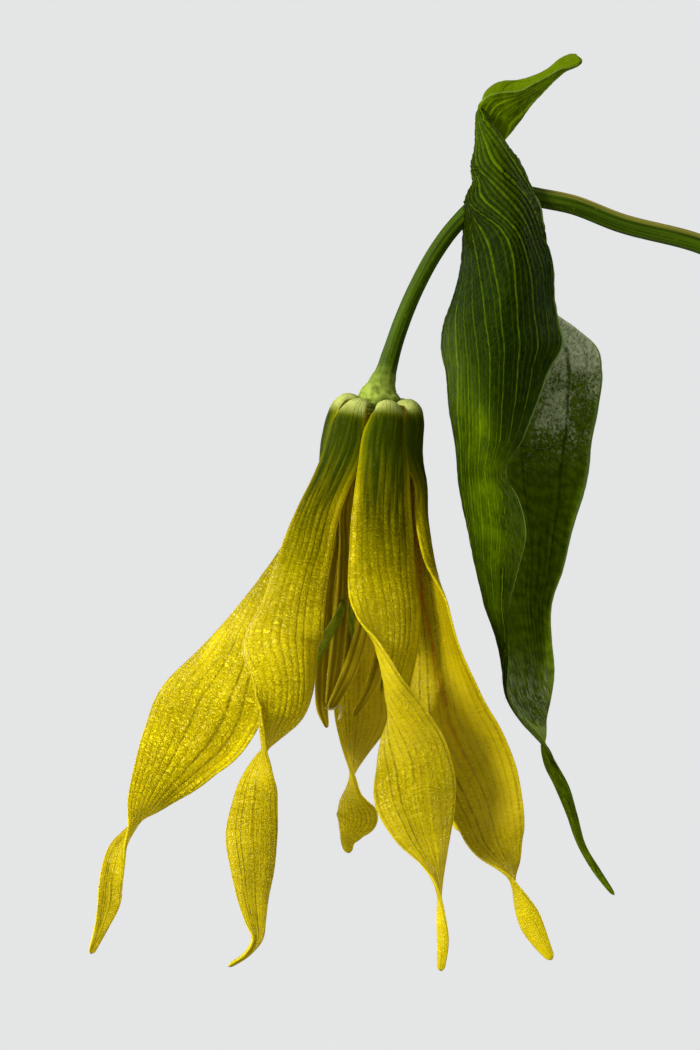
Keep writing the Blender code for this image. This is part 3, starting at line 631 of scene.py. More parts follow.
def sheen(w, shader, normal, level, tint=(1.0, 1.0, 1.0, 1.0)):
    """A shine that fades where the surface turns away, as on soft, matt tissue."""
    away = w.add("ShaderNodeLayerWeight", {"Blend": 0.5, "Normal": normal}, 1)
    w.feed(shader.inputs["Specular IOR Level"], w.spread(away, 0.35, 0.75, level, 0.0))
    shader.inputs["Specular Tint"].default_value = tint


def tepal_material():
    """Yellow, green at the pouched base, with olive veins and fine wrinkles across it."""
    made, w, shader = material("tepal", rgb(220, 195, 8), 0.42)
    across = w.maths("ABSOLUTE", w.attribute("across"))
    along = w.attribute("along")
    inside = w.spread(w.attribute("face"), -0.2, 0.2, 1.0, 0.0)
    outside = w.maths("SUBTRACT", 1.0, inside)
    skin = w.attribute("skin", 1)
    veins = {"Coordinate": w.attribute("veins"), "Skin": skin, "Width": 0.22, "Wander": 0.25}
    veins["Weakest"] = 0.35
    line = w.group(VEINS, veins, "Line")
    wrinkled = w.times(w.attribute("wrinkled"), w.spread(inside, 0.0, 1.0, 1.0, 0.7))
    wrinkle = w.noise(w.vector("MULTIPLY", skin, (2.4, 3.6, 1.0)), 1.0, 2.0, 0.6, 1.6)
    wrinkle = w.times(w.spread(wrinkle, 0.38, 0.66), wrinkled)
    patches = w.noise(skin, 0.28, 3)
    yellow = w.mix(w.spread(patches, 0.38, 0.66), rgb(192, 172, 0), rgb(216, 196, 0))
    # Painted highlight: the tops of the wrinkles are painted a brighter yellow.
    yellow = w.mix(w.times(wrinkle, 0.55), yellow, rgb(240, 222, 10))
    # Painted shade: the inner face is painted a darker yellow, for the shade inside the cup.
    yellow = w.mix(w.times(inside, 0.4), yellow, rgb(176, 156, 0))
    olive = w.mix(inside, rgb(98, 90, 0), rgb(100, 88, 0))
    color = w.mix(w.times(line, 0.8), yellow, olive)
    # The green of the base: pale on top, dark down the middle, yellow at the margins.
    fresh = w.times(w.spread(along, 5.0, 12.0, 1.0, 0.0), w.spread(across, 0.8, 1.0, 1.0, 0.3))
    color = w.mix(w.times(w.times(fresh, 0.9), outside), color, rgb(74, 94, 0))
    stripes = w.noise(w.vector("MULTIPLY", skin, (3.4, 0.2, 1.0)), 1.0, 3)
    stripes = w.spread(stripes, 0.35, 0.6, 0.75, 1.0)
    green = w.times(w.times(w.attribute("green"), stripes), outside)
    color = w.mix(w.times(green, 0.97), color, rgb(30, 50, 0))
    pale = w.spread(w.noise(skin, 3.0, 3), 0.3, 0.6, 0.7, 1.0)
    pale = w.times(w.spread(along, 2.1, 3.4, 1.0, 0.0), pale)
    color = w.mix(w.times(pale, 0.95), color, rgb(196, 206, 112))
    streak = w.attribute("streak")
    flecks = w.spread(w.noise(w.vector("MULTIPLY", skin, (3.0, 0.5, 1.0)), 1.2, 3), 0.3, 0.62)
    # Painted shade: the inner face is darkened to brown, mostly high up inside the right tepal.
    color = w.mix(w.times(w.times(w.attribute("shade"), inside), 0.85), color, rgb(84, 58, 0))
    color = w.mix(w.times(w.times(streak, flecks), inside), color, rgb(176, 86, 0))
    rim = w.times(w.spread(across, 0.95, 1.0), w.spread(along, 4.0, 8.0))
    color = w.mix(w.times(rim, 0.45), color, rgb(236, 218, 8))
    w.feed(shader.inputs["Base Color"], color)
    w.feed(shader.inputs["Roughness"], w.spread(w.noise(skin, 2.2, 2), 0.3, 0.7, 0.15, 0.25))
    grain = w.noise(skin, 8.0, 2, 0.6)
    height = w.maths("MULTIPLY_ADD", grain, 0.3, wrinkle)
    height = w.maths("SUBTRACT", height, w.times(line, 0.45))
    normal = bump(w, height, 0.00013, 1.0)
    w.feed(shader.inputs["Normal"], normal)
    dull = w.spread(w.maths("MAXIMUM", green, fresh), 0.0, 0.6, 0.2, 0.02)
    sheen(w, shader, normal, dull, (1.0, 0.94, 0.55, 1.0))
    through = w.mix(0.5, color, rgb(220, 200, 0))
    let_light_through(w, shader, through, 0.25, normal)
    return made


def leaf_material():
    """Deep green with raised yellow-green veins, downy and silvery on the underside, where the
    silver is partly the pale down and partly a painted sheen.
    """
    made, w, shader = material("leaf", rgb(52, 84, 10), 0.5)
    across = w.maths("ABSOLUTE", w.attribute("across"))
    under = w.spread(w.attribute("face"), -0.2, 0.2, 1.0, 0.0)
    skin = w.attribute("skin", 1)
    coordinate = w.attribute("veins")
    main = {"Coordinate": w.times(coordinate, 1 / 3), "Skin": skin, "Width": 0.08}
    main.update({"Wander": 0.06, "Weakest": 0.6})
    line = w.group(VEINS, main, "Line")
    fine = {"Coordinate": coordinate, "Skin": skin, "Width": 0.17, "Wander": 0.15, "Weakest": 0.2}
    thin = w.group(VEINS, fine, "Line")
    net = {"Skin": skin, "Stretch": 0.45, "Scale": 2.6, "Width": 0.12}
    cross = w.group(NET, net, "Line")
    pillow = w.group(NET, net, "Pillow")
    lime = w.attribute("lime")
    green = w.mix(lime, rgb(12, 23, 0), rgb(80, 104, 0))
    patches = w.noise(w.vector("MULTIPLY", skin, (1.6, 0.8, 1.0)), 0.7, 5, 0.65)
    green = w.mix(w.spread(patches, 0.4, 0.6, 0.6, 0.0), green, rgb(22, 38, 0))
    ridged = w.attribute("ridged")
    # Painted shade: where the leaf is ridged, the valleys between the raised veins are painted
    # darker.
    valley_shade = w.times(w.group(VEINS, fine, "Flute"), ridged)
    green = w.mix(w.times(valley_shade, 0.75), green, rgb(12, 20, 0))
    vein = w.mix(lime, rgb(74, 98, 0), rgb(124, 146, 4))
    vein = w.mix(ridged, vein, rgb(76, 98, 0))
    color = w.mix(w.times(cross, 0.1), green, vein)
    color = w.mix(w.times(thin, w.spread(lime, 0.0, 0.6, 0.4, 0.7)), color, vein)
    color = w.mix(line, color, vein)
    # The underside: veins sunk and dark, with silvery down, its silver partly the down's own
    # paleness and partly a painted sheen.
    back = w.spread(w.noise(skin, 1.4, 3), 0.35, 0.65)
    back = w.mix(back, rgb(62, 80, 0), rgb(84, 104, 2))
    back = w.mix(w.times(lime, 0.85), back, rgb(92, 114, 4))
    back = w.mix(w.times(line, 0.6), back, rgb(20, 32, 0))
    down = w.attribute("downy")
    wrinkle = w.noise(w.vector("MULTIPLY", skin, (4.2, 3.4, 1.0)), 1.0, 4, 0.65, 0.8)
    wrinkle = w.spread(wrinkle, w.spread(down, 0.2, 0.9, 0.52, 0.2), 0.64)
    hoary = w.noise(w.vector("MULTIPLY", skin, (9.0, 0.7, 1.0)), 1.0, 3, 0.6)
    hoary = w.times(w.spread(hoary, 0.42, 0.72, 0.0, 0.45), w.attribute("hoary"))
    # The silver is partly the pale down's own colour and partly a painted sheen with painted glints
    # in the wrinkles.
    down_and_sheen = w.times(w.times(down, wrinkle), w.spread(line, 0.1, 0.8, 1.0, 0.15))
    down_and_sheen = w.times(down_and_sheen, w.spread(thin, 0.1, 0.8, 1.0, 0.6))
    down_and_sheen = w.maths("MAXIMUM", down_and_sheen, hoary)
    back = w.mix(w.times(down_and_sheen, 0.95), back, rgb(222, 230, 184))
    color = w.mix(under, color, back)
    rim = w.spread(across, 0.975, 1.0)
    color = w.mix(w.times(rim, 0.6), color, rgb(120, 144, 70))
    w.feed(shader.inputs["Base Color"], color)
    w.feed(shader.inputs["Roughness"], w.spread(w.noise(skin, 3.0, 3), 0.3, 0.7, 0.45, 0.62))
    height = w.maths("MULTIPLY_ADD", pillow, 0.35, w.times(w.noise(skin, 11.0, 3, 0.6), 0.2))
    height = w.maths("ADD", height, w.times(line, 0.9))
    height = w.maths("ADD", height, w.times(thin, 0.35))
    height = w.maths("ADD", height, w.times(down_and_sheen, 0.8))
    normal = bump(w, height, 0.00006, 0.8)
    w.feed(shader.inputs["Normal"], normal)
    sheen(w, shader, normal, 0.035, (0.5, 0.9, 0.15, 1.0))
    let_light_through(w, shader, w.mix(0.5, color, rgb(90, 120, 0)), 0.12, normal)
    return made


def stem_material():
    """Smooth green, lighter in streaks, browner and paler along the upper side of the arch: partly
    a tinge of its own, partly a painted highlight.
    """
    made, w, shader = material("stem", rgb(92, 120, 36), 0.42)
    place = w.add("ShaderNodeTexCoord", out=3)
    turn = w.attribute("turn", 1)
    along = w.attribute("along")
    streaks = w.vector("MULTIPLY", turn, (2.4, 2.4, 0.0))
    streaks = w.vector("ADD", streaks, w.joined(0.0, 0.0, w.times(along, 0.06)))
    streak = w.noise(streaks, 1.6, 4, 0.6)
    color = w.mix(w.spread(streak, 0.34, 0.66), rgb(28, 44, 0), rgb(56, 78, 0))
    sky = w.add("ShaderNodeNewGeometry", out=1)
    sky = w.add("ShaderNodeSeparateXYZ", {0: sky}, 2)
    far = w.add("ShaderNodeSeparateXYZ", {0: place})
    arch = w.times(w.spread(far, -0.048, -0.043), w.spread(far, -0.016, -0.024))
    # Painted highlight: the upward-facing side of the arch is painted a pale tan, partly a real
    # brownish tinge.
    tan_and_highlight = w.times(w.times(w.spread(sky, 0.4, 0.85), arch), w.spread(streak, 0.25, 0.7, 0.3, 1.0))
    color = w.mix(w.times(tan_and_highlight, 0.75), color, rgb(150, 134, 56))
    collar = w.attribute("lumps")
    mottle = w.spread(w.noise(place, 1500.0, 3, 0.6), 0.35, 0.6, 0.45, 1.0)
    color = w.mix(w.times(w.times(collar, 0.8), mottle), color, rgb(150, 168, 66))
    specks = w.spread(w.noise(place, 2600.0, 2), 0.6, 0.75)
    color = w.mix(w.times(specks, 0.15), color, rgb(110, 126, 20))
    w.feed(shader.inputs["Base Color"], color)
    w.feed(shader.inputs["Roughness"], w.spread(streak, 0.3, 0.7, 0.36, 0.5))
    grain = w.noise(place, 3800.0, 3, 0.6)
    normal = bump(w, w.maths("ADD", w.times(streak, 0.6), w.times(grain, 0.3)), 0.00005, 0.7)
    w.feed(shader.inputs["Normal"], normal)
    sheen(w, shader, normal, 0.08, (0.8, 0.9, 0.4, 1.0))
    shader.inputs["Subsurface Weight"].default_value = 0.1
    shader.inputs["Subsurface Radius"].default_value = (0.6, 1.0, 0.2)
    shader.inputs["Subsurface Scale"].default_value = 0.0006
    return made


def stamen_material():
    """Olive anther halves between bright, powdery yellow edges."""
    made, w, shader = material("stamen", rgb(176, 152, 0), 0.6)
    across = w.maths("ABSOLUTE", w.attribute("across"))
    skin = w.attribute("skin", 1)
    streak = w.noise(w.vector("MULTIPLY", skin, (5.0, 0.35, 1.0)), 1.3, 4, 0.6)
    halves = w.spread(w.maths("ABSOLUTE", w.maths("SUBTRACT", across, 0.38)), 0.12, 0.36, 1.0, 0.0)
    color = w.mix(w.spread(streak, 0.35, 0.65), rgb(150, 130, 0), rgb(186, 164, 0))
    color = w.mix(w.times(halves, w.spread(streak, 0.3, 0.6, 0.4, 0.85)), color, rgb(112, 98, 0))
    color = w.mix(w.times(w.spread(across, 0.78, 0.95), 0.8), color, rgb(214, 190, 4))
    w.feed(shader.inputs["Base Color"], color)
    powder = w.noise(skin, 16.0, 3, 0.7)
    normal = bump(w, powder, 0.00006, 0.8)
    w.feed(shader.inputs["Normal"], normal)
    sheen(w, shader, normal, 0.07)
    let_light_through(w, shader, rgb(200, 176, 0), 0.15, normal)
    return made


def plain_tissue(name, low, high, roughness, scale=1800.0):
    """Living tissue of two close colours, for the small inner pieces."""
    made, w, shader = material(name, low, roughness)
    place = w.add("ShaderNodeTexCoord", out=3)
    patches = w.spread(w.noise(place, scale, 3, 0.6), 0.36, 0.64)
    w.feed(shader.inputs["Base Color"], w.mix(patches, low, high))
    normal = bump(w, w.noise(place, scale * 4, 3, 0.6), 0.00004, 0.6)
    w.feed(shader.inputs["Normal"], normal)
    sheen(w, shader, normal, 0.08)
    return made


def glass_material():
    """Clear glass with the faint green that its thickness gives."""
    made, w, shader = material("glass", rgb(247, 252, 250), 0.0)
    shader.inputs["Transmission Weight"].default_value = 1.0
    shader.inputs["IOR"].default_value = 1.5
    place = w.add("ShaderNodeTexCoord", out=3)
    ripple = w.noise(w.vector("MULTIPLY", place, (1.0, 1.0, 0.35)), 60.0, 2)
    w.feed(shader.inputs["Normal"], bump(w, ripple, 0.0002, 0.15))
    return made


def water_material():
    """Clear water with the faintest blue."""
    made, _, shader = material("water", rgb(250, 253, 253), 0.0)
    shader.inputs["Transmission Weight"].default_value = 1.0
    shader.inputs["IOR"].default_value = 1.33
    return made


# ---- Grown sheets -----------------------------------------------------------------


def through(rows, at, wanted):
    """A smooth curve through rows that lie at these places, read at the wanted places."""
    slopes = np.gradient(rows, at, axis=0)
    i = np.clip(np.searchsorted(at, wanted, side="right") - 1, 0, len(at) - 2)
    shape = (-1,) + (1,) * (rows.ndim - 1)
    span = (at[i + 1] - at[i]).reshape(shape)
    t = (wanted - at[i]).reshape(shape) / span
    low = rows[i] * (1 + 2 * t) + slopes[i] * span * t
    high = rows[i + 1] * (3 - 2 * t) + slopes[i + 1] * span * (t - 1)
    return low * (1 - t) ** 2 + high * t**2


def smooth_rows(rows, count, crowding=1.0):
    """count rows on a curve through these, spread along their first three columns."""
    rows = np.array(rows, float)
    steps = np.linalg.norm(np.diff(rows[:, :3], axis=0), axis=1)
    at = np.concatenate([[0], np.cumsum(steps)])
    left = np.linspace(1, 0, count) ** crowding
    return through(rows, at, at[-1] * (1 - left))


def lofted_points(sections, along, across):
    """A grid of points on the smooth sheet that passes through these sections."""
    sections = np.array(sections, float)
    columns = np.arange(sections.shape[1])
    wide = through(sections.transpose(1, 0, 2), columns, np.linspace(0, columns[-1], across))
    rows = wide.transpose(1, 0, 2)
    steps = np.linalg.norm(np.diff(rows, axis=0), axis=2).mean(axis=1)
    at = np.concatenate([[0], np.cumsum(steps)])
    return through(rows, at, np.linspace(0, at[-1], along))


def blade_points(stations, along, across, start=0.1, reach=0.9, curls=((0, 0, 0),)):
    """Points of a cupped, twisting blade, as along rows of across points.

    Its margins curl further where curls say, from start over reach of the half width.
    """
    rows = smooth_rows(stations, along)
    path = rows[:, :3]
    tangent = np.gradient(path, axis=0)
    tangent /= np.linalg.norm(tangent, axis=1)[:, None]
    half, turn, cup = rows[:, 3], np.radians(rows[:, 4]), np.radians(rows[:, 5])
    to_tip = np.linspace(1, 0, along) * along * np.linalg.norm(path[1] - path[0])
    half = half * np.sqrt(1 - np.clip(1 - to_tip / (1.4 * half[-1]), 0, 0.97) ** 2)
    level = np.stack([np.cos(turn), np.sin(turn), 0 * turn], axis=1)
    width = level - (level * tangent).sum(1)[:, None] * tangent
    width /= np.linalg.norm(width, axis=1)[:, None]
    outward = np.cross(tangent, width)
    heights, left, right = np.array(sorted(curls), float).T
    left = np.radians(np.interp(path[:, 2], heights, left))[:, None]
    right = np.radians(np.interp(path[:, 2], heights, right))[:, None]
    u = np.linspace(-1, 1, across)
    bend = cup[:, None] * u
    bend = bend + right * np.clip((u - start) / reach, 0, 1) ** 1.6
    bend = bend - left * np.clip((-u - start) / reach, 0, 1) ** 1.6
    middle = across // 2
    spacing = 2 / (across - 1)
    sideways = centred_sum(np.cos(bend), middle) * spacing * half[:, None]
    inward = centred_sum(np.sin(bend), middle) * spacing * half[:, None]
    sheet = path[:, None] + width[:, None] * sideways[..., None]
    return sheet - outward[:, None] * inward[..., None]


def centred_sum(values, middle):
    """Running sums across each row, by the trapezium rule, that are 0 at the middle."""
    between = (values[:, 1:] + values[:, :-1]) / 2
    total = np.concatenate([0 * values[:, :1], np.cumsum(between, axis=1)], axis=1)
    return total - total[:, middle : middle + 1]


def sheet_normals(points):
    """The outward direction at each point of a grid that runs down and then across."""
    down = np.gradient(points, axis=0)
    over = np.gradient(points, axis=1)
    normal = np.cross(down, over)
    return normal / np.maximum(np.linalg.norm(normal, axis=2), 1e-9)[..., None]


def sheet_lengths(points):
    """Distances in millimetres across a sheet from its middle and along it from its base."""
    across = np.linalg.norm(np.diff(points, axis=1), axis=2)
    across = np.concatenate([np.zeros((len(points), 1)), np.cumsum(across, axis=1)], axis=1)
    across -= across[:, across.shape[1] // 2][:, None]
    middle = points[:, points.shape[1] // 2]
    along = np.linalg.norm(np.diff(middle, axis=0), axis=1)
    along = np.concatenate([[0], np.cumsum(along)])[:, None] + 0 * across
    return across, along


def rolling(x, y, seed):
    """Smooth, repeatable unevenness between -1 and 1, with bumps about one unit wide."""
    table = np.random.default_rng(seed).uniform(-1, 1, (64, 64))
    i, j = np.floor(x).astype(int), np.floor(y).astype(int)
    s, t = x - i, y - j
    s, t = s * s * (3 - 2 * s), t * t * (3 - 2 * t)
    low = table[i % 64, j % 64] * (1 - s) + table[(i + 1) % 64, j % 64] * s
    high = table[i % 64, (j + 1) % 64] * (1 - s) + table[(i + 1) % 64, (j + 1) % 64] * s
    return low * (1 - t) + high * t


def pillows(x, y, seed):
    """Rounded cells about one unit wide: 0 on the borders between them, 1 inside."""
    jitter = np.random.default_rng(seed).uniform(0.1, 0.9, (64, 64, 2))
    i, j = np.floor(x).astype(int), np.floor(y).astype(int)
    nearest = np.full(x.shape, 9.0)
    second = np.full(x.shape, 9.0)
    for a in (-1, 0, 1):
        for b in (-1, 0, 1):
            spot = jitter[(i + a) % 64, (j + b) % 64]
            away = np.hypot(i + a + spot[..., 0] - x, j + b + spot[..., 1] - y)
            second = np.minimum(second, np.maximum(nearest, away))
            nearest = np.minimum(nearest, away)
    t = np.clip((second - nearest) / 0.45, 0, 1)
    return t * t * (3 - 2 * t)


def near(value, middle, reach):
    """1 at the middle, falling smoothly to about 0 at twice the reach."""
    return np.exp(-(((value - middle) / reach) ** 2))


def step(value, low, high):
    """0 at low rising smoothly to 1 at high, which may also lie below low."""
    t = np.clip((value - low) / (high - low), 0, 1)
    return t * t * (3 - 2 * t)


def grid_shell(points, thickness, values):
    """Vertices, faces and values of a closed sheet with rounded margins."""
    rows, columns = points.shape[:2]
    normal = sheet_normals(points)
    u = np.abs(np.linspace(-1, 1, columns))[None]
    s = np.abs(np.linspace(-1, 1, rows))[:, None]
    depth = 0.5 * thickness * np.sqrt((1 - u**10) * (1 - s**90))
    outer = (points + normal * depth[..., None]).reshape(-1, 3)
    inner = (points - normal * depth[..., None]).reshape(-1, 3)
    index = np.arange(rows * columns).reshape(rows, columns)
    inside = np.zeros((rows, columns), bool)
    inside[1:-1, 1:-1] = True
    under = index.copy()
    under[inside] = rows * columns + np.arange(inside.sum())
    chosen = inside.ravel()
    vertices = np.concatenate([outer, inner[chosen]])
    top = np.stack([index[:-1, :-1], index[1:, :-1], index[1:, 1:], index[:-1, 1:]], axis=-1)
    low = np.stack([under[:-1, :-1], under[:-1, 1:], under[1:, 1:], under[1:, :-1]], axis=-1)
    faces = np.concatenate([top.reshape(-1, 4), low.reshape(-1, 4)])
    carried = {}
    for name, value in values.items():
        flat = value.reshape(rows * columns, -1)
        carried[name] = np.concatenate([flat, flat[chosen]])
    face = np.ones((len(vertices), 1))
    face[rows * columns :] = -1
    carried["face"] = face
    return vertices, faces, carried


def piece_from(name, shells, origin=FLOWER_AT):
    """One mesh object of these shells, placed by its vertices, with their values on it."""
    start = 0
    vertices, faces = [], []
    for points, quads, _ in shells:
        vertices.append((points + np.array(origin)) * MM)
        faces.append(quads + start)
        start += len(points)
    mesh = bpy.data.meshes.new(name)
    mesh.from_pydata(np.concatenate(vertices), [], np.concatenate(faces).tolist())
    for label in shells[0][2]:
        value = np.concatenate([shell[2][label] for shell in shells])
        kind, key = ("FLOAT", "value") if value.shape[1] == 1 else ("FLOAT_VECTOR", "vector")
        layer = mesh.attributes.new(label, kind, "POINT")
        layer.data.foreach_set(key, value.astype(np.float32).ravel())
    mesh.shade_smooth()
    return placed(name, mesh)


def placed(name, mesh):
    piece = bpy.data.objects.new(name, mesh)
    bpy.context.scene.collection.objects.link(piece)
    return piece


def keep(piece, node, finish=None):
    """Gives a finished piece its finish if one is given, ties it to the model's root body, and
    hides the CAD node it stands for.
    """
    if finish is not None:
        piece.data.materials.clear()
        piece.data.materials.append(finish)
    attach(piece, "root")
    if node:
        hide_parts(node)


# ---- Tepals -----------------------------------------------------------------------


def flower_axis(height):
    return np.array([FLOWER_SHIFT + FLOWER_TILT * height, 0.0, height])


def tepal_stations(direction, reach, tuck, lift, below):
    """A tepal's dome, then its stations below, with turns that never jump."""
    angle = radians(direction)
    stations = []
    for out, height, half_width, cup in DOME:
        x = reach * out * cos(angle) + flower_axis(height)[0]
        y = reach * out * sin(angle)
        stations.append((x, y, height + lift, half_width, direction + 90 + tuck, cup))
    for x, y, z, half_width, turn, cup in below:
        turn += 360 * round((stations[-1][4] - turn) / 360)
        stations.append((x, y, z, half_width, turn, cup))
    return stations


def tepal_grid(name):
    stations = tepal_stations(*DOMES[name], TEPALS[name])
    return blade_points(stations, *TEPAL_GRID, *CURLS.get(name, ()))


# What is each tepal's own: its seed, how far it is puckered, its reddish midrib, which also sets
# how much painted shade darkens its inner face.
TEPAL_LOOKS = {
    "tepal_front": (11, 1.1, 0.0),
    "tepal_front_left": (12, 1.25, 0.0),
    "tepal_left": (13, 1.25, 0.0),
    "tepal_right": (14, 0.9, 1.0),
    "tepal_back": (15, 0.8, 0.15),
    "tepal_back_right": (16, 0.9, 0.15),
}


def make_tepals(finish):
    for name in TEPALS:
        seed, pucker, red = TEPAL_LOOKS[name]
        points = tepal_grid(name)
        normal = sheet_normals(points)
        side, along = sheet_lengths(points)
        u = np.linspace(-1, 1, points.shape[1])[None] + 0 * along
        half = np.maximum(np.abs(side).max(axis=1, keepdims=True), 0.05)
        wander = 0.45 * rolling(u * 1.5, along / 6.0, seed) * (1 - u**4)
        veins = u * VEINS_PER_TEPAL / 2 + wander
        flute = 0.5 - 0.5 * np.cos(2 * pi * veins)
        grown = np.clip((along - 3.0) / 5.0, 0, 1) * np.clip(half / 1.2, 0, 1)
        uneven = rolling(side / 0.9, along / 1.6, seed + 80)
        pebbles = rolling(side / 0.34 + 7, along / 0.42, seed + 40)
        relief = 0.04 * flute * np.clip(half / 2.5, 0, 1) + 0.02 * uneven
        plump = np.clip(half / 2.4, 0.15, 1)
        relief = relief + 0.011 * pucker * pebbles * plump
        relief = (relief - 0.05 * near(u, 0.0, 0.04)) * (1 - np.abs(u) ** 5)
        wave = 0.05 * rolling(along / 3.1, np.sign(u) + 5.5, seed + 120) * np.abs(u) ** 5
        relief = (relief + wave * np.clip(half / 2.0, 0, 1)) * grown
        for at, width, start, end, height in FOLDS.get(name, []):
            inside = np.clip((along - start) / 4, 0, 1) * np.clip((end - along) / 4, 0, 1)
            relief = relief + height * near(u, at, width) * inside * inside * (3 - 2 * inside)
        points = points + normal * relief[..., None]
        rib = 0.03 + 0.3 * np.clip((26 - along) / 10, 0, 1)
        streak = red * near(u, rib, 0.07) * np.clip((along - 8) / 4, 0, 1)
        streak = streak * np.clip((34 - along) / 14, 0, 1)
        edge = 0.92 + 0.5 * red
        green = step(along, 24.0, 9.0) * step(along, 2.7, 3.7) * step(np.abs(u), edge, 0.5)
        # Painted shade: how far the inner face is painted dark brown, high up inside the right
        # tepal and a little all down it.
        shade = red * np.maximum(0.2, step(along, 19.0, 12.0) * step(along, 4.0, 7.0))
        skin = np.stack([side, along, 0 * side], axis=2)
        wrinkled = 0.75 + 0.45 * rolling(side / 2.2, along / 3.0, seed + 160)
        wrinkled = pucker * plump * wrinkled * np.clip((along - 5) / 8, 0.25, 1)
        values = {"across": u, "along": along, "veins": veins, "skin": skin}
        values.update({"streak": streak, "shade": shade, "wrinkled": wrinkled})
        values["green"] = green
        piece = piece_from(name, [grid_shell(points, TEPAL_THICKNESS, values)])
        keep(piece, name, finish)


# ---- The leaf ---------------------------------------------------------------------


def leaf_veins(column, height):
    """Which vein passes each place on the leaf, as a number that runs across it."""
    heights = np.array([row[0] for row in LEAF_VEINS])
    places = np.array([row[1] for row in LEAF_VEINS])
    order = np.argsort(heights)
    level = height[:, height.shape[1] // 2]
    level = np.clip(level, heights.min(), heights.max())
    at = through(places[order], heights[order], level)
    return np.stack([np.interp(c, x, VEIN_NUMBERS) for c, x in zip(column, at)])


def make_leaf(finish):
    sections = [[(x, y, row[0]) for x, y in row[1:]] for row in LEAF]
    points = lofted_points(sections, *LEAF_GRID)
    column = np.linspace(0, 5, points.shape[1])[None] + 0 * points[..., 2]
    height = points[..., 2]
    veins = leaf_veins(column, height) + 0.2 * rolling(column * 2, height / 3.0, 7)
    normal = sheet_normals(points)
    side, along = sheet_lengths(points)
    u = np.linspace(-1, 1, points.shape[1])[None] + 0 * side
    ridge = near(veins - np.round(veins), 0.0, 0.12)
    strength = np.random.default_rng(3).uniform(0.3, 1.0, 256)[np.round(veins).astype(int) % 256]
    cell = pillows(side / 0.7 + 30, along / 1.1, 5)
    uneven = rolling(side / 2.2, along / 3.5, 9)
    wide = np.clip(np.abs(side).max(axis=1, keepdims=True) / 6.0, 0, 1)
    ridged = np.clip((height - 8.5) / 4.0, 0, 1)
    flute = (0.5 + 0.5 * np.cos(2 * pi * veins)) ** 2
    relief = (0.07 * ridge * strength + 0.02 * cell + 0.10 * uneven) * wide
    relief = relief + (0.02 + 0.09 * ridged) * flute * np.clip(wide * 3, 0, 1)
    edge = np.abs(u) ** 8 * (0.3 + 0.7 * ridged)
    relief = relief + edge * wide * 0.16 * rolling(along / 1.8, np.sign(u) + 3.5, 21)
    points = points - normal * relief[..., None]
    over = np.gradient(points, axis=1)
    over /= np.maximum(np.linalg.norm(over, axis=2), 1e-9)[..., None]
    notch = (0.02 + 0.08 * ridged) * rolling(along / 0.42, np.sign(u) + 8.5, 23) * np.abs(u) ** 14
    points = points + over * (notch * np.sign(u) * np.clip(wide * 3, 0, 1))[..., None]
    x, z = points[..., 0], points[..., 2]
    front = np.clip((2.4 - column) * 3, 0, 1)
    lime = front * near(z, -11.0, 6.5) * near(x + 0.1 * (z + 11), 9.8, 2.4)
    lime = lime * (0.75 + 0.35 * rolling(x / 1.3, z / 2.5, 41))
    lime = lime + 0.4 * front * near(z, 0.0, 8.0) * near(x + 0.25 * z, 6.0, 1.8)
    lime = lime + 0.4 * front * near(z, -2.2, 1.6) * near(x, 7.9, 0.5)
    lime = lime + 0.8 * np.clip((-26.0 - z) / 2.0, 0, 1) + 0.3 * near(z, 20.0, 3.5)
    lime = np.clip(lime, 0, 1)
    back = np.clip((column - 2.6) * 3, 0, 1)
    uneven = rolling(x / 1.6, z / 1.6, 43) + 0.5 * rolling(x / 0.7, z / 0.7, 44)
    downy = np.clip((z + 2.4 + 1.3 * uneven) / 6.0, 0, 1)
    downy = downy + np.clip(0.2 + 0.3 * uneven, 0, 0.4) * near(z, -2.8, 2.4)
    downy = back * np.clip(downy, 0, 1) * np.clip((x - 9.0) / 4.0, 0, 1) * (z < 12)
    hoary = near(z, -24.5, 2.6) * np.clip(1 - np.abs(u) ** 9, 0, 1)
    hairy = 0.15 * downy + 0.3 * hoary + 3.0 * np.clip((u - 0.9) * 10, 0, 1) * near(z, 5.2, 1.8)
    skin = np.stack([side, along, 0 * side], axis=2)
    values = {"across": u, "along": along, "veins": veins, "skin": skin}
    values.update({"lime": lime, "downy": downy, "hoary": hoary})
    values.update({"hairy": hairy, "ridged": ridged})
    # Turned so that the upper side, which is folded outwards, is the outer face.
    flipped = {name: value[:, ::-1] for name, value in values.items()}
    blade = grid_shell(points[:, ::-1], LEAF_THICKNESS, flipped)
    piece = piece_from("leaf", [blade, make_lobe()])
    keep(piece, "leaf", finish)
    return piece


def make_lobe():
    """The rolled lobe over the stem, a trough with a blunt, flared tip."""
    points = lofted_points(LOBE, *LOBE_GRID)
    normal = sheet_normals(points)
    side, along = sheet_lengths(points)
    u = np.linspace(-1, 1, points.shape[1])[None] + 0 * side
    veins = u * 6 + 0.9 * rolling(u * 2, along / 2.0, 31)
    ridge = near(veins - np.round(veins), 0.0, 0.14)
    uneven = rolling(side / 1.6, along / 2.0, 33)
    relief = 0.05 * ridge + 0.09 * uneven + 0.14 * np.abs(u) ** 8 * rolling(along / 1.3, u + 3, 34)
    points = points - normal * relief[..., None]
    skin = np.stack([side, along + 80, 0 * side], axis=2)
    lime = 0.8 + 0.2 * (u < 0)
    values = {"across": u, "along": along, "veins": veins + 40, "skin": skin}
    values.update({"lime": lime + 0 * side, "downy": 0 * side, "hoary": 0 * side})
    values.update({"hairy": 0 * side, "ridged": 0 * side})
    flipped = {name: value[:, ::-1] for name, value in values.items()}
    return grid_shell(points[:, ::-1], LEAF_THICKNESS, flipped)


# ---- Geometry node trees ----------------------------------------------------------


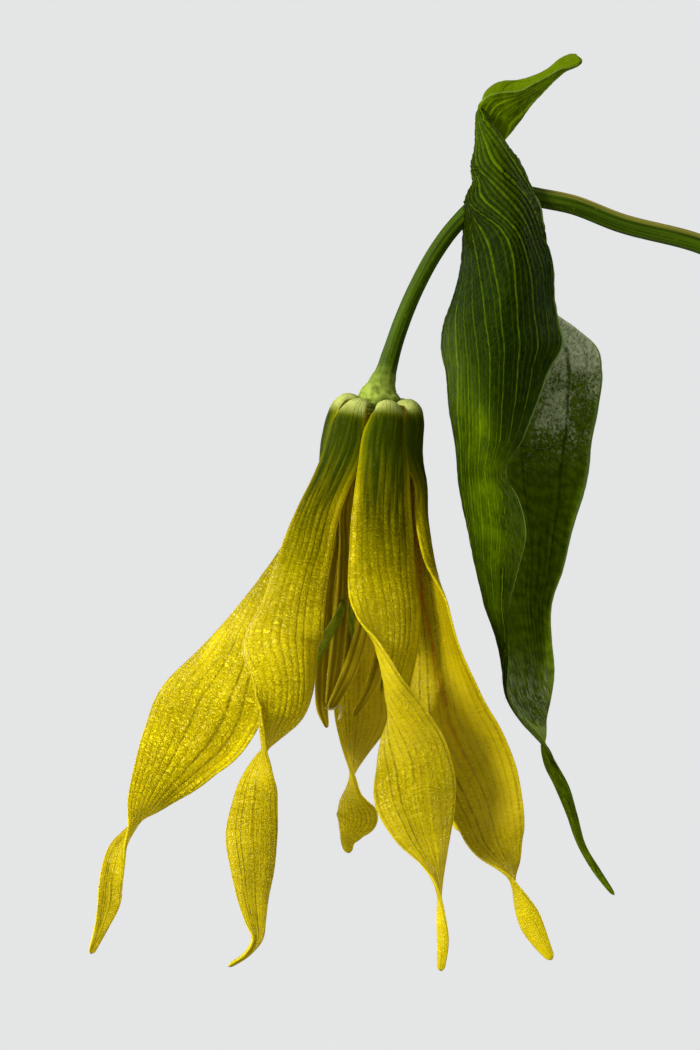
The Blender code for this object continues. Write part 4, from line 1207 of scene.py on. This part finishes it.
def geometry_tree(name, inputs):
    """An empty geometry tree with these named inputs, its wiring, inputs and output."""
    tree = bpy.data.node_groups.new(name, "GeometryNodeTree")
    geometry = "NodeSocketGeometry"
    tree.interface.new_socket(name="Geometry", in_out="INPUT", socket_type=geometry)
    for label, kind, value in inputs:
        socket = tree.interface.new_socket(name=label, in_out="INPUT", socket_type=kind)
        if value is not None:
            socket.default_value = value
    tree.interface.new_socket(name="Geometry", in_out="OUTPUT", socket_type=geometry)
    start = tree.nodes.new("NodeGroupInput")
    end = tree.nodes.new("NodeGroupOutput")
    return tree, Wiring(tree), start.outputs, end.inputs[0]


def finish_tree(w, geometry, finish, end):
    """Every tree ends by making its instances real and giving them their finish."""
    real = w.add("GeometryNodeRealizeInstances", {0: geometry})
    smooth = w.add("GeometryNodeSetShadeSmooth", {"Geometry": real})
    w.feed(end, w.add("GeometryNodeSetMaterial", {"Geometry": smooth, "Material": finish}))


def swept_rod_tree():
    """A round rod along a line of points, with ribs down it and lumps where it asks."""
    number = "NodeSocketFloat"
    inputs = [("Sides", "NodeSocketInt", 32), ("Ribs", number, 0.0)]
    inputs += [("Rib height", number, 0.0), ("Lump height", number, 0.0)]
    inputs += [("Lumps per metre", number, 1500.0), ("Finish", "NodeSocketMaterial", None)]
    tree, w, start, end = geometry_tree("swept_rod", inputs)
    line = w.add("GeometryNodeMeshToCurve", {0: start["Geometry"]})
    circle = {"Resolution": start["Sides"], "Radius": 1.0}
    circle = w.add("GeometryNodeCurvePrimitiveCircle", circle)
    place = w.add("GeometryNodeInputPosition")
    axes = w.tree.nodes.new("ShaderNodeSeparateXYZ")
    w.feed(axes.inputs[0], place)
    angle = w.maths("ARCTAN2", axes.outputs[1], axes.outputs[0])
    wave = w.maths("COSINE", w.times(angle, start["Ribs"]))
    swell = w.maths("MULTIPLY_ADD", wave, start["Rib height"], 1.0)
    stored = {"Geometry": circle, "Name": "turn", "Value": place}
    circle = w.add("GeometryNodeStoreNamedAttribute", stored, data_type="FLOAT_VECTOR")
    scaled = w.vector("SCALE", place)
    w.feed(scaled.node.inputs["Scale"], swell)
    profile = w.add("GeometryNodeSetPosition", {"Geometry": circle, "Position": scaled})
    radius = w.add("GeometryNodeInputNamedAttribute", {"Name": "radius"}, data_type="FLOAT")
    sweep = {"Curve": line, "Profile Curve": profile, "Scale": radius, "Fill Caps": True}
    rod = w.add("GeometryNodeCurveToMesh", sweep)
    lumps = w.add("GeometryNodeInputNamedAttribute", {"Name": "lumps"}, data_type="FLOAT")
    surface = w.add("GeometryNodeInputPosition")
    rough = w.maths("SUBTRACT", w.noise(surface, start["Lumps per metre"], 2), 0.5)
    offset = w.vector("SCALE", w.add("GeometryNodeInputNormal"))
    w.feed(offset.node.inputs["Scale"], w.times(w.times(rough, start["Lump height"]), lumps))
    rod = w.add("GeometryNodeSetPosition", {"Geometry": rod, "Offset": offset})
    finish_tree(w, rod, start["Finish"], end)
    return tree


def scatter_tree(name, mask, ball):
    """Grains or hairs that stand on a surface, as densely as its mask attribute says."""
    number = "NodeSocketFloat"
    inputs = [("Per square metre", number, 1e6), ("Radius", number, 1e-5), ("Length", number, 1e-4)]
    inputs += [("Lean", number, 0.5), ("Seed", "NodeSocketInt", 1)]
    inputs += [("Finish", "NodeSocketMaterial", None)]
    tree, w, start, end = geometry_tree(name, inputs)
    wanted = w.add("GeometryNodeInputNamedAttribute", {"Name": mask}, data_type="FLOAT")
    spots = w.tree.nodes.new("GeometryNodeDistributePointsOnFaces")
    w.feed(spots.inputs["Mesh"], start["Geometry"])
    w.feed(spots.inputs["Density"], w.times(wanted, start["Per square metre"]))
    w.feed(spots.inputs["Seed"], start["Seed"])
    if ball:
        shape = {"Radius": start["Radius"], "Subdivisions": 1}
        shape = w.add("GeometryNodeMeshIcoSphere", shape)
    else:
        shape = {"Vertices": 3, "Radius Top": 0.0, "Radius Bottom": start["Radius"]}
        shape["Depth"] = start["Length"]
        shape = w.add("GeometryNodeMeshCone", shape)
    low = w.vector("SCALE", (-1.0, -1.0, -1.0))
    high = w.vector("SCALE", (1.0, 1.0, 1.0))
    w.feed(low.node.inputs["Scale"], start["Lean"])
    w.feed(high.node.inputs["Scale"], start["Lean"])
    lean = {"Min": low, "Max": high, "Seed": start["Seed"]}
    lean = w.add("FunctionNodeRandomValue", lean, data_type="FLOAT_VECTOR")
    lean = w.add("FunctionNodeEulerToRotation", {"Euler": lean})
    turned = {"Rotation": spots.outputs["Rotation"], "Rotate By": lean}
    turned = w.add("FunctionNodeRotateRotation", turned, rotation_space="LOCAL")
    size = w.tree.nodes.new("FunctionNodeRandomValue")
    size.data_type = "FLOAT"
    size.inputs[2].default_value = 0.5
    size.inputs[3].default_value = 1.3
    w.feed(size.inputs["Seed"], start["Seed"])
    stood = {"Points": spots.outputs["Points"], "Instance": shape, "Rotation": turned}
    stood["Scale"] = size.outputs[1]
    stood = w.add("GeometryNodeInstanceOnPoints", stood)
    finish_tree(w, stood, start["Finish"], end)
    return tree


def grown(source, tree, name, **inputs):
    """A plain mesh object of what this tree makes from the source."""
    modifier = source.modifiers.new(tree.name, "NODES")
    modifier.node_group = tree
    for item in tree.interface.items_tree:
        key = item.name.lower().replace(" ", "_")
        if item.in_out == "INPUT" and key in inputs:
            modifier[item.identifier] = inputs[key]
    bpy.context.view_layer.update()
    graph = bpy.context.evaluated_depsgraph_get()
    mesh = bpy.data.meshes.new_from_object(source.evaluated_get(graph))
    mesh.name = name
    source.modifiers.remove(modifier)
    return placed(name, mesh)


def guide(route, count, origin=(0, 0, 0), lumps=None):
    """A line of points along a smooth route, which the rod tree sweeps along.

    They stand closer towards the far end where that has lumps to show.
    """
    rows = smooth_rows(route, count, 1.8 if lumps else 1.0)
    points = (rows[:, :3] + np.array(origin)) * MM
    mesh = bpy.data.meshes.new("guide")
    mesh.from_pydata(points, [(i, i + 1) for i in range(count - 1)], [])
    steps = np.linalg.norm(np.diff(rows[:, :3], axis=0), axis=1)
    along = np.concatenate([[0], np.cumsum(steps)])
    values = {"radius": rows[:, 3] * MM, "along": along}
    values["lumps"] = lumps(rows) if lumps else 0 * along
    for label, value in values.items():
        layer = mesh.attributes.new(label, "FLOAT", "POINT")
        layer.data.foreach_set("value", value.astype(np.float32))
    return placed("guide", mesh)


def swept(name, tree, route, count, origin=(0, 0, 0), lumps=None, **inputs):
    line = guide(route, count, origin, lumps)
    piece = grown(line, tree, name, **inputs)
    bpy.data.objects.remove(line)
    return piece


def joined(name, pieces):
    """One object of several whose meshes share their attributes' names."""
    with bpy.context.temp_override(active_object=pieces[0], selected_editable_objects=pieces):
        bpy.ops.object.join()
    pieces[0].name = name
    return pieces[0]


# ---- Stem, stamens and pistil -----------------------------------------------------


def make_stem(tree, finish):
    def collar(rows):
        return np.clip((137.6 - rows[:, 2]) / 2.4, 0, 1) * (rows[:, 0] < -57)

    look = {"sides": 64, "ribs": 9.0, "rib_height": 0.012, "lump_height": 0.0005}
    look["lumps_per_metre"] = 1300.0
    piece = swept("stem", tree, STEM_ROUTE, 700, lumps=collar, finish=finish, **look)
    keep(piece, "stem")


def make_stamens(finish, pollen_tree, pollen_finish, skin_finish):
    """A thin filament, and a flat anther of two swollen halves, powdered at its edges."""
    for seed, (name, (direction, turn, anther)) in enumerate(STAMENS.items()):
        out = np.array([cos(radians(direction)), sin(radians(direction)), 0.0])
        route = [flower_axis(-1.6) + 1.0 * out, flower_axis(-5.0) + 1.45 * out]
        stations = [(*point, 0.2, turn, 25) for point in route]
        stations += [(*row, turn, 25) for row in anther]
        points = blade_points(stations, *ANTHER_GRID)
        side, along = sheet_lengths(points)
        u = np.linspace(-1, 1, points.shape[1])[None] + 0 * side
        skin = np.stack([side, along + 20 * seed, 0 * side], axis=2)
        edges = np.clip((np.abs(u) - 0.7) / 0.2, 0, 1) * np.clip((along - 10) / 2, 0, 1)
        values = {"across": u, "along": along, "skin": skin, "edges": edges}
        piece = piece_from(name, [anther_shell(points, values, along)])
        keep(piece, name, finish)
        grains = {"per_square_metre": 6.0e7, "radius": 0.00004, "seed": seed + 1}
        pollen = grown(piece, pollen_tree, name + "_pollen", finish=pollen_finish, **grains)
        keep(pollen, None)
    points = blade_points(TORN_SKIN, *TORN_SKIN_GRID)
    scrap = grid_shell(points, TORN_SKIN_THICKNESS, {"across": points[..., 0]})
    skin = piece_from("torn_skin", [scrap])
    keep(skin, None, skin_finish)


def anther_shell(points, values, along):
    """A shell that is thick in two long halves and thin between them and on the filament."""
    u = values["across"]
    halves = near(np.abs(u), 0.48, 0.26)
    grown_in = np.clip((along - 9.5) / 2.5, 0, 1)
    normal = sheet_normals(points)
    vertices, faces, carried = grid_shell(points, ANTHER_THICKNESS * 0.55, values)
    extra = (0.16 * halves * grown_in * (1 - u**8))[..., None] * normal
    extra = extra.reshape(-1, 3)
    rows, columns = points.shape[:2]
    inside = np.zeros((rows, columns), bool)
    inside[1:-1, 1:-1] = True
    vertices[: rows * columns] += extra
    vertices[rows * columns :] -= extra[inside.ravel()]
    return vertices, faces, carried


def make_pistil(tree, finish):
    ribbed = {"sides": 18, "ribs": 3.0, "rib_height": 0.08}
    style = swept("pistil", tree, STYLE, 60, FLOWER_AT, finish=finish, **ribbed)
    branches = [
        swept("stigma", tree, [STIGMA_START] + route, 40, FLOWER_AT, sides=12, finish=finish)
        for route in STIGMAS
    ]
    keep(joined("pistil", [style] + branches), "pistil")


# ---- Bottle and water -------------------------------------------------------------


def quarter(centre, radius, start, end, steps=10):
    angles = [radians(start + (end - start) * i / steps) for i in range(steps + 1)]
    return [(centre[0] + radius * cos(a), centre[1] + radius * sin(a)) for a in angles]


def bottle_outline(inset, foot, top):
    """Half of the body's outline from its foot up to the neck, drawn inset from the outside."""
    radius = BODY_RADIUS - inset
    neck = NECK_RADIUS - inset
    rise = SHOULDER_HIGH - SHOULDER_LOW
    shoulder = [
        (neck + (radius - neck) * (1 + cos(pi * i / 32)) / 2, SHOULDER_LOW + rise * i / 32)
        for i in range(33)
    ]
    # Two more rings keep the shading of the straight wall even beside the round corners.
    wall = [(radius, foot + FOOT_CORNER + 1), (radius, SHOULDER_LOW - 1)]
    base = quarter((radius - FOOT_CORNER, foot + FOOT_CORNER), FOOT_CORNER, -90, 0)
    return base + wall + shoulder + [(neck, top)]


def turned(name, profile, steps=128):
    """A solid of revolution about +Z, from a profile of (radius, height)."""
    profile = np.array(profile)
    angles = np.linspace(0, 2 * pi, steps, endpoint=False)
    ring = np.stack([np.cos(angles), np.sin(angles)], axis=1)
    start, end = profile[0], profile[-1]
    rings = profile[1:-1]
    flat = rings[:, None, :1] * ring[None]
    height = np.broadcast_to(rings[:, 1][:, None, None], flat.shape[:2] + (1,))
    vertices = np.concatenate([flat, height], axis=2).reshape(-1, 3)
    vertices = np.concatenate([vertices, [[0, 0, start[1]], [0, 0, end[1]]]]) * MM
    faces = []
    count = len(rings)
    for i in range(steps):
        j = (i + 1) % steps
        for k in range(count - 1):
            a, b = k * steps, (k + 1) * steps
            faces.append((a + i, b + i, b + j, a + j))
        faces.append((len(vertices) - 2, i, j))
        faces.append((len(vertices) - 1, (count - 1) * steps + j, (count - 1) * steps + i))
    mesh = bpy.data.meshes.new(name)
    mesh.from_pydata(vertices, [], faces)
    mesh.shade_smooth()
    mesh.set_sharp_from_angle(angle=radians(40))
    return placed(name, mesh)


def make_bottle(finish):
    outer = bottle_outline(0, 0, BOTTLE_HEIGHT - LIP_HEIGHT)
    lip_centre = LIP_RADIUS - LIP_CORNER
    low = BOTTLE_HEIGHT - LIP_HEIGHT + LIP_CORNER
    lip = quarter((lip_centre, low), LIP_CORNER, -60, 0, 8)
    lip += quarter((lip_centre, BOTTLE_HEIGHT - LIP_CORNER), LIP_CORNER, 0, 90, 10)
    mouth_centre = (MOUTH_RADIUS + MOUTH_CORNER, BOTTLE_HEIGHT - MOUTH_CORNER)
    mouth = quarter(mouth_centre, MOUTH_CORNER, 90, 180, 8)
    inner = bottle_outline(GLASS_WALL, GLASS_BASE, BORE_FOOT)
    inner[-1] = (MOUTH_RADIUS, BORE_FOOT)
    inner = [(max(r, MOUTH_RADIUS), z) for r, z in inner]
    profile = [(0, GLASS_BASE)] + inner + mouth[::-1] + lip[::-1] + outer[::-1] + [(0, 0)]
    keep(turned("bottle", profile), "bottle", finish)


def make_water(finish):
    """Water that meets the glass all round and creeps up it in a thin meniscus."""
    overlap = 0.02
    radius = BODY_RADIUS - GLASS_WALL + overlap
    low = GLASS_BASE - overlap
    side = quarter((radius - FOOT_CORNER, low + FOOT_CORNER), FOOT_CORNER, -90, 0)
    side += [(radius, low + FOOT_CORNER + 1)]
    rise = [
        (radius - MENISCUS * i / 12, WATER_LEVEL + MENISCUS * 0.8 * (1 - i / 12) ** 3)
        for i in range(13)
    ]
    profile = [(0, WATER_LEVEL)] + rise[::-1] + side[::-1] + [(0, low)]
    keep(turned("water", profile), "water", finish)


# ---- Stage ------------------------------------------------------------------------


def make_floor():
    """A wide pale floor that fades into the background well beyond the bottle."""
    mesh = bpy.data.meshes.new("floor")
    reach = 3.0
    corners = [(-reach, -reach, 0), (reach, -reach, 0), (reach, reach, 0), (-reach, reach, 0)]
    mesh.from_pydata(corners, [], [(0, 1, 2, 3)])
    floor = placed("floor", mesh)
    made, w, shader = material("floor", (0.5, 0.503, 0.506, 1.0), 0.8)
    shader.inputs["Specular IOR Level"].default_value = 0.1
    place = w.add("ShaderNodeTexCoord", out=3)
    away = w.vector("LENGTH", place, out=1)
    far = w.spread(away, 0.14, 0.45)
    flat = w.add("ShaderNodeEmission", {"Color": (*PALE, 1.0), "Strength": 1.0})
    both = w.add("ShaderNodeMixShader", {0: far, 1: shader.outputs[0], 2: flat})
    w.tree.links.new(both, w.tree.nodes["Material Output"].inputs["Surface"])
    floor.data.materials.append(made)


def make_world():
    """Pale behind the object and in its reflections, and an even, low light on it."""
    world = bpy.data.worlds.new("studio")
    world.use_nodes = True
    w = Wiring(world.node_tree)
    seen = w.tree.nodes["Background"]
    w.feed(seen.inputs["Color"], (*PALE, 1.0))
    lit = w.add("ShaderNodeBackground", {"Color": (0.95, 0.98, 1.0, 1.0), "Strength": 0.22})
    path = w.tree.nodes.new("ShaderNodeLightPath")
    shown = w.maths("MAXIMUM", path.outputs["Is Camera Ray"], path.outputs["Is Glossy Ray"])
    shown = w.maths("MAXIMUM", shown, path.outputs["Is Transmission Ray"])
    both = w.add("ShaderNodeMixShader", {0: shown, 1: lit, 2: seen.outputs[0]})
    w.tree.links.new(both, w.tree.nodes["World Output"].inputs["Surface"])
    bpy.context.scene.world = world


def make_lamp(name, place, size, power, color):
    """A round lamp that points at the flower."""
    data = bpy.data.lights.new(name, "AREA")
    data.shape = "DISK"
    data.size = size
    data.energy = power
    data.color = color
    lamp = bpy.data.objects.new(name, data)
    lamp.location = place
    aim = Vector(FLOWER_CENTRE) - Vector(place)
    lamp.rotation_euler = aim.to_track_quat("-Z", "Y").to_euler()
    bpy.context.scene.collection.objects.link(lamp)


def make_camera():
    data = bpy.data.cameras.new("camera")
    data.sensor_fit = "VERTICAL"
    data.sensor_height = 36.0
    data.lens = data.sensor_height * VIEW_DISTANCE / VIEW_HEIGHT
    data.clip_start = 0.01
    data.clip_end = 50.0
    camera = bpy.data.objects.new("camera", data)
    camera.location = CAMERA_AT
    camera.rotation_euler = (pi / 2, 0, 0)
    bpy.context.scene.collection.objects.link(camera)
    bpy.context.scene.camera = camera


def main():
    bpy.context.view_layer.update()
    bpy.context.scene.view_settings.view_transform = "Standard"
    make_camera()
    make_world()
    for lamp in LAMPS:
        make_lamp(*lamp)
    make_floor()

    rod = swept_rod_tree()
    hairs = scatter_tree("fine_hairs", "hairy", ball=False)
    grains = scatter_tree("pollen_grains", "edges", ball=True)
    pollen = plain_tissue("pollen", rgb(212, 186, 4), rgb(238, 216, 20), 0.8, 9000.0)
    down = plain_tissue("down", rgb(196, 204, 176), rgb(226, 232, 210), 0.6)
    make_tepals(tepal_material())
    leaf = make_leaf(leaf_material())
    fuzz = {"per_square_metre": 9.0e6, "radius": 0.000012, "length": 0.00028, "lean": 0.9}
    fuzz_piece = grown(leaf, hairs, "leaf_down", finish=down, seed=4, **fuzz)
    keep(fuzz_piece, None)
    make_stem(rod, stem_material())
    anther = stamen_material()
    torn = plain_tissue("torn_skin", rgb(150, 140, 80), rgb(196, 186, 130), 0.5)
    make_stamens(anther, grains, pollen, torn)
    make_pistil(rod, plain_tissue("pistil", rgb(94, 108, 2), rgb(128, 138, 8), 0.4))
    make_bottle(glass_material())
    make_water(water_material())

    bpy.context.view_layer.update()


main()
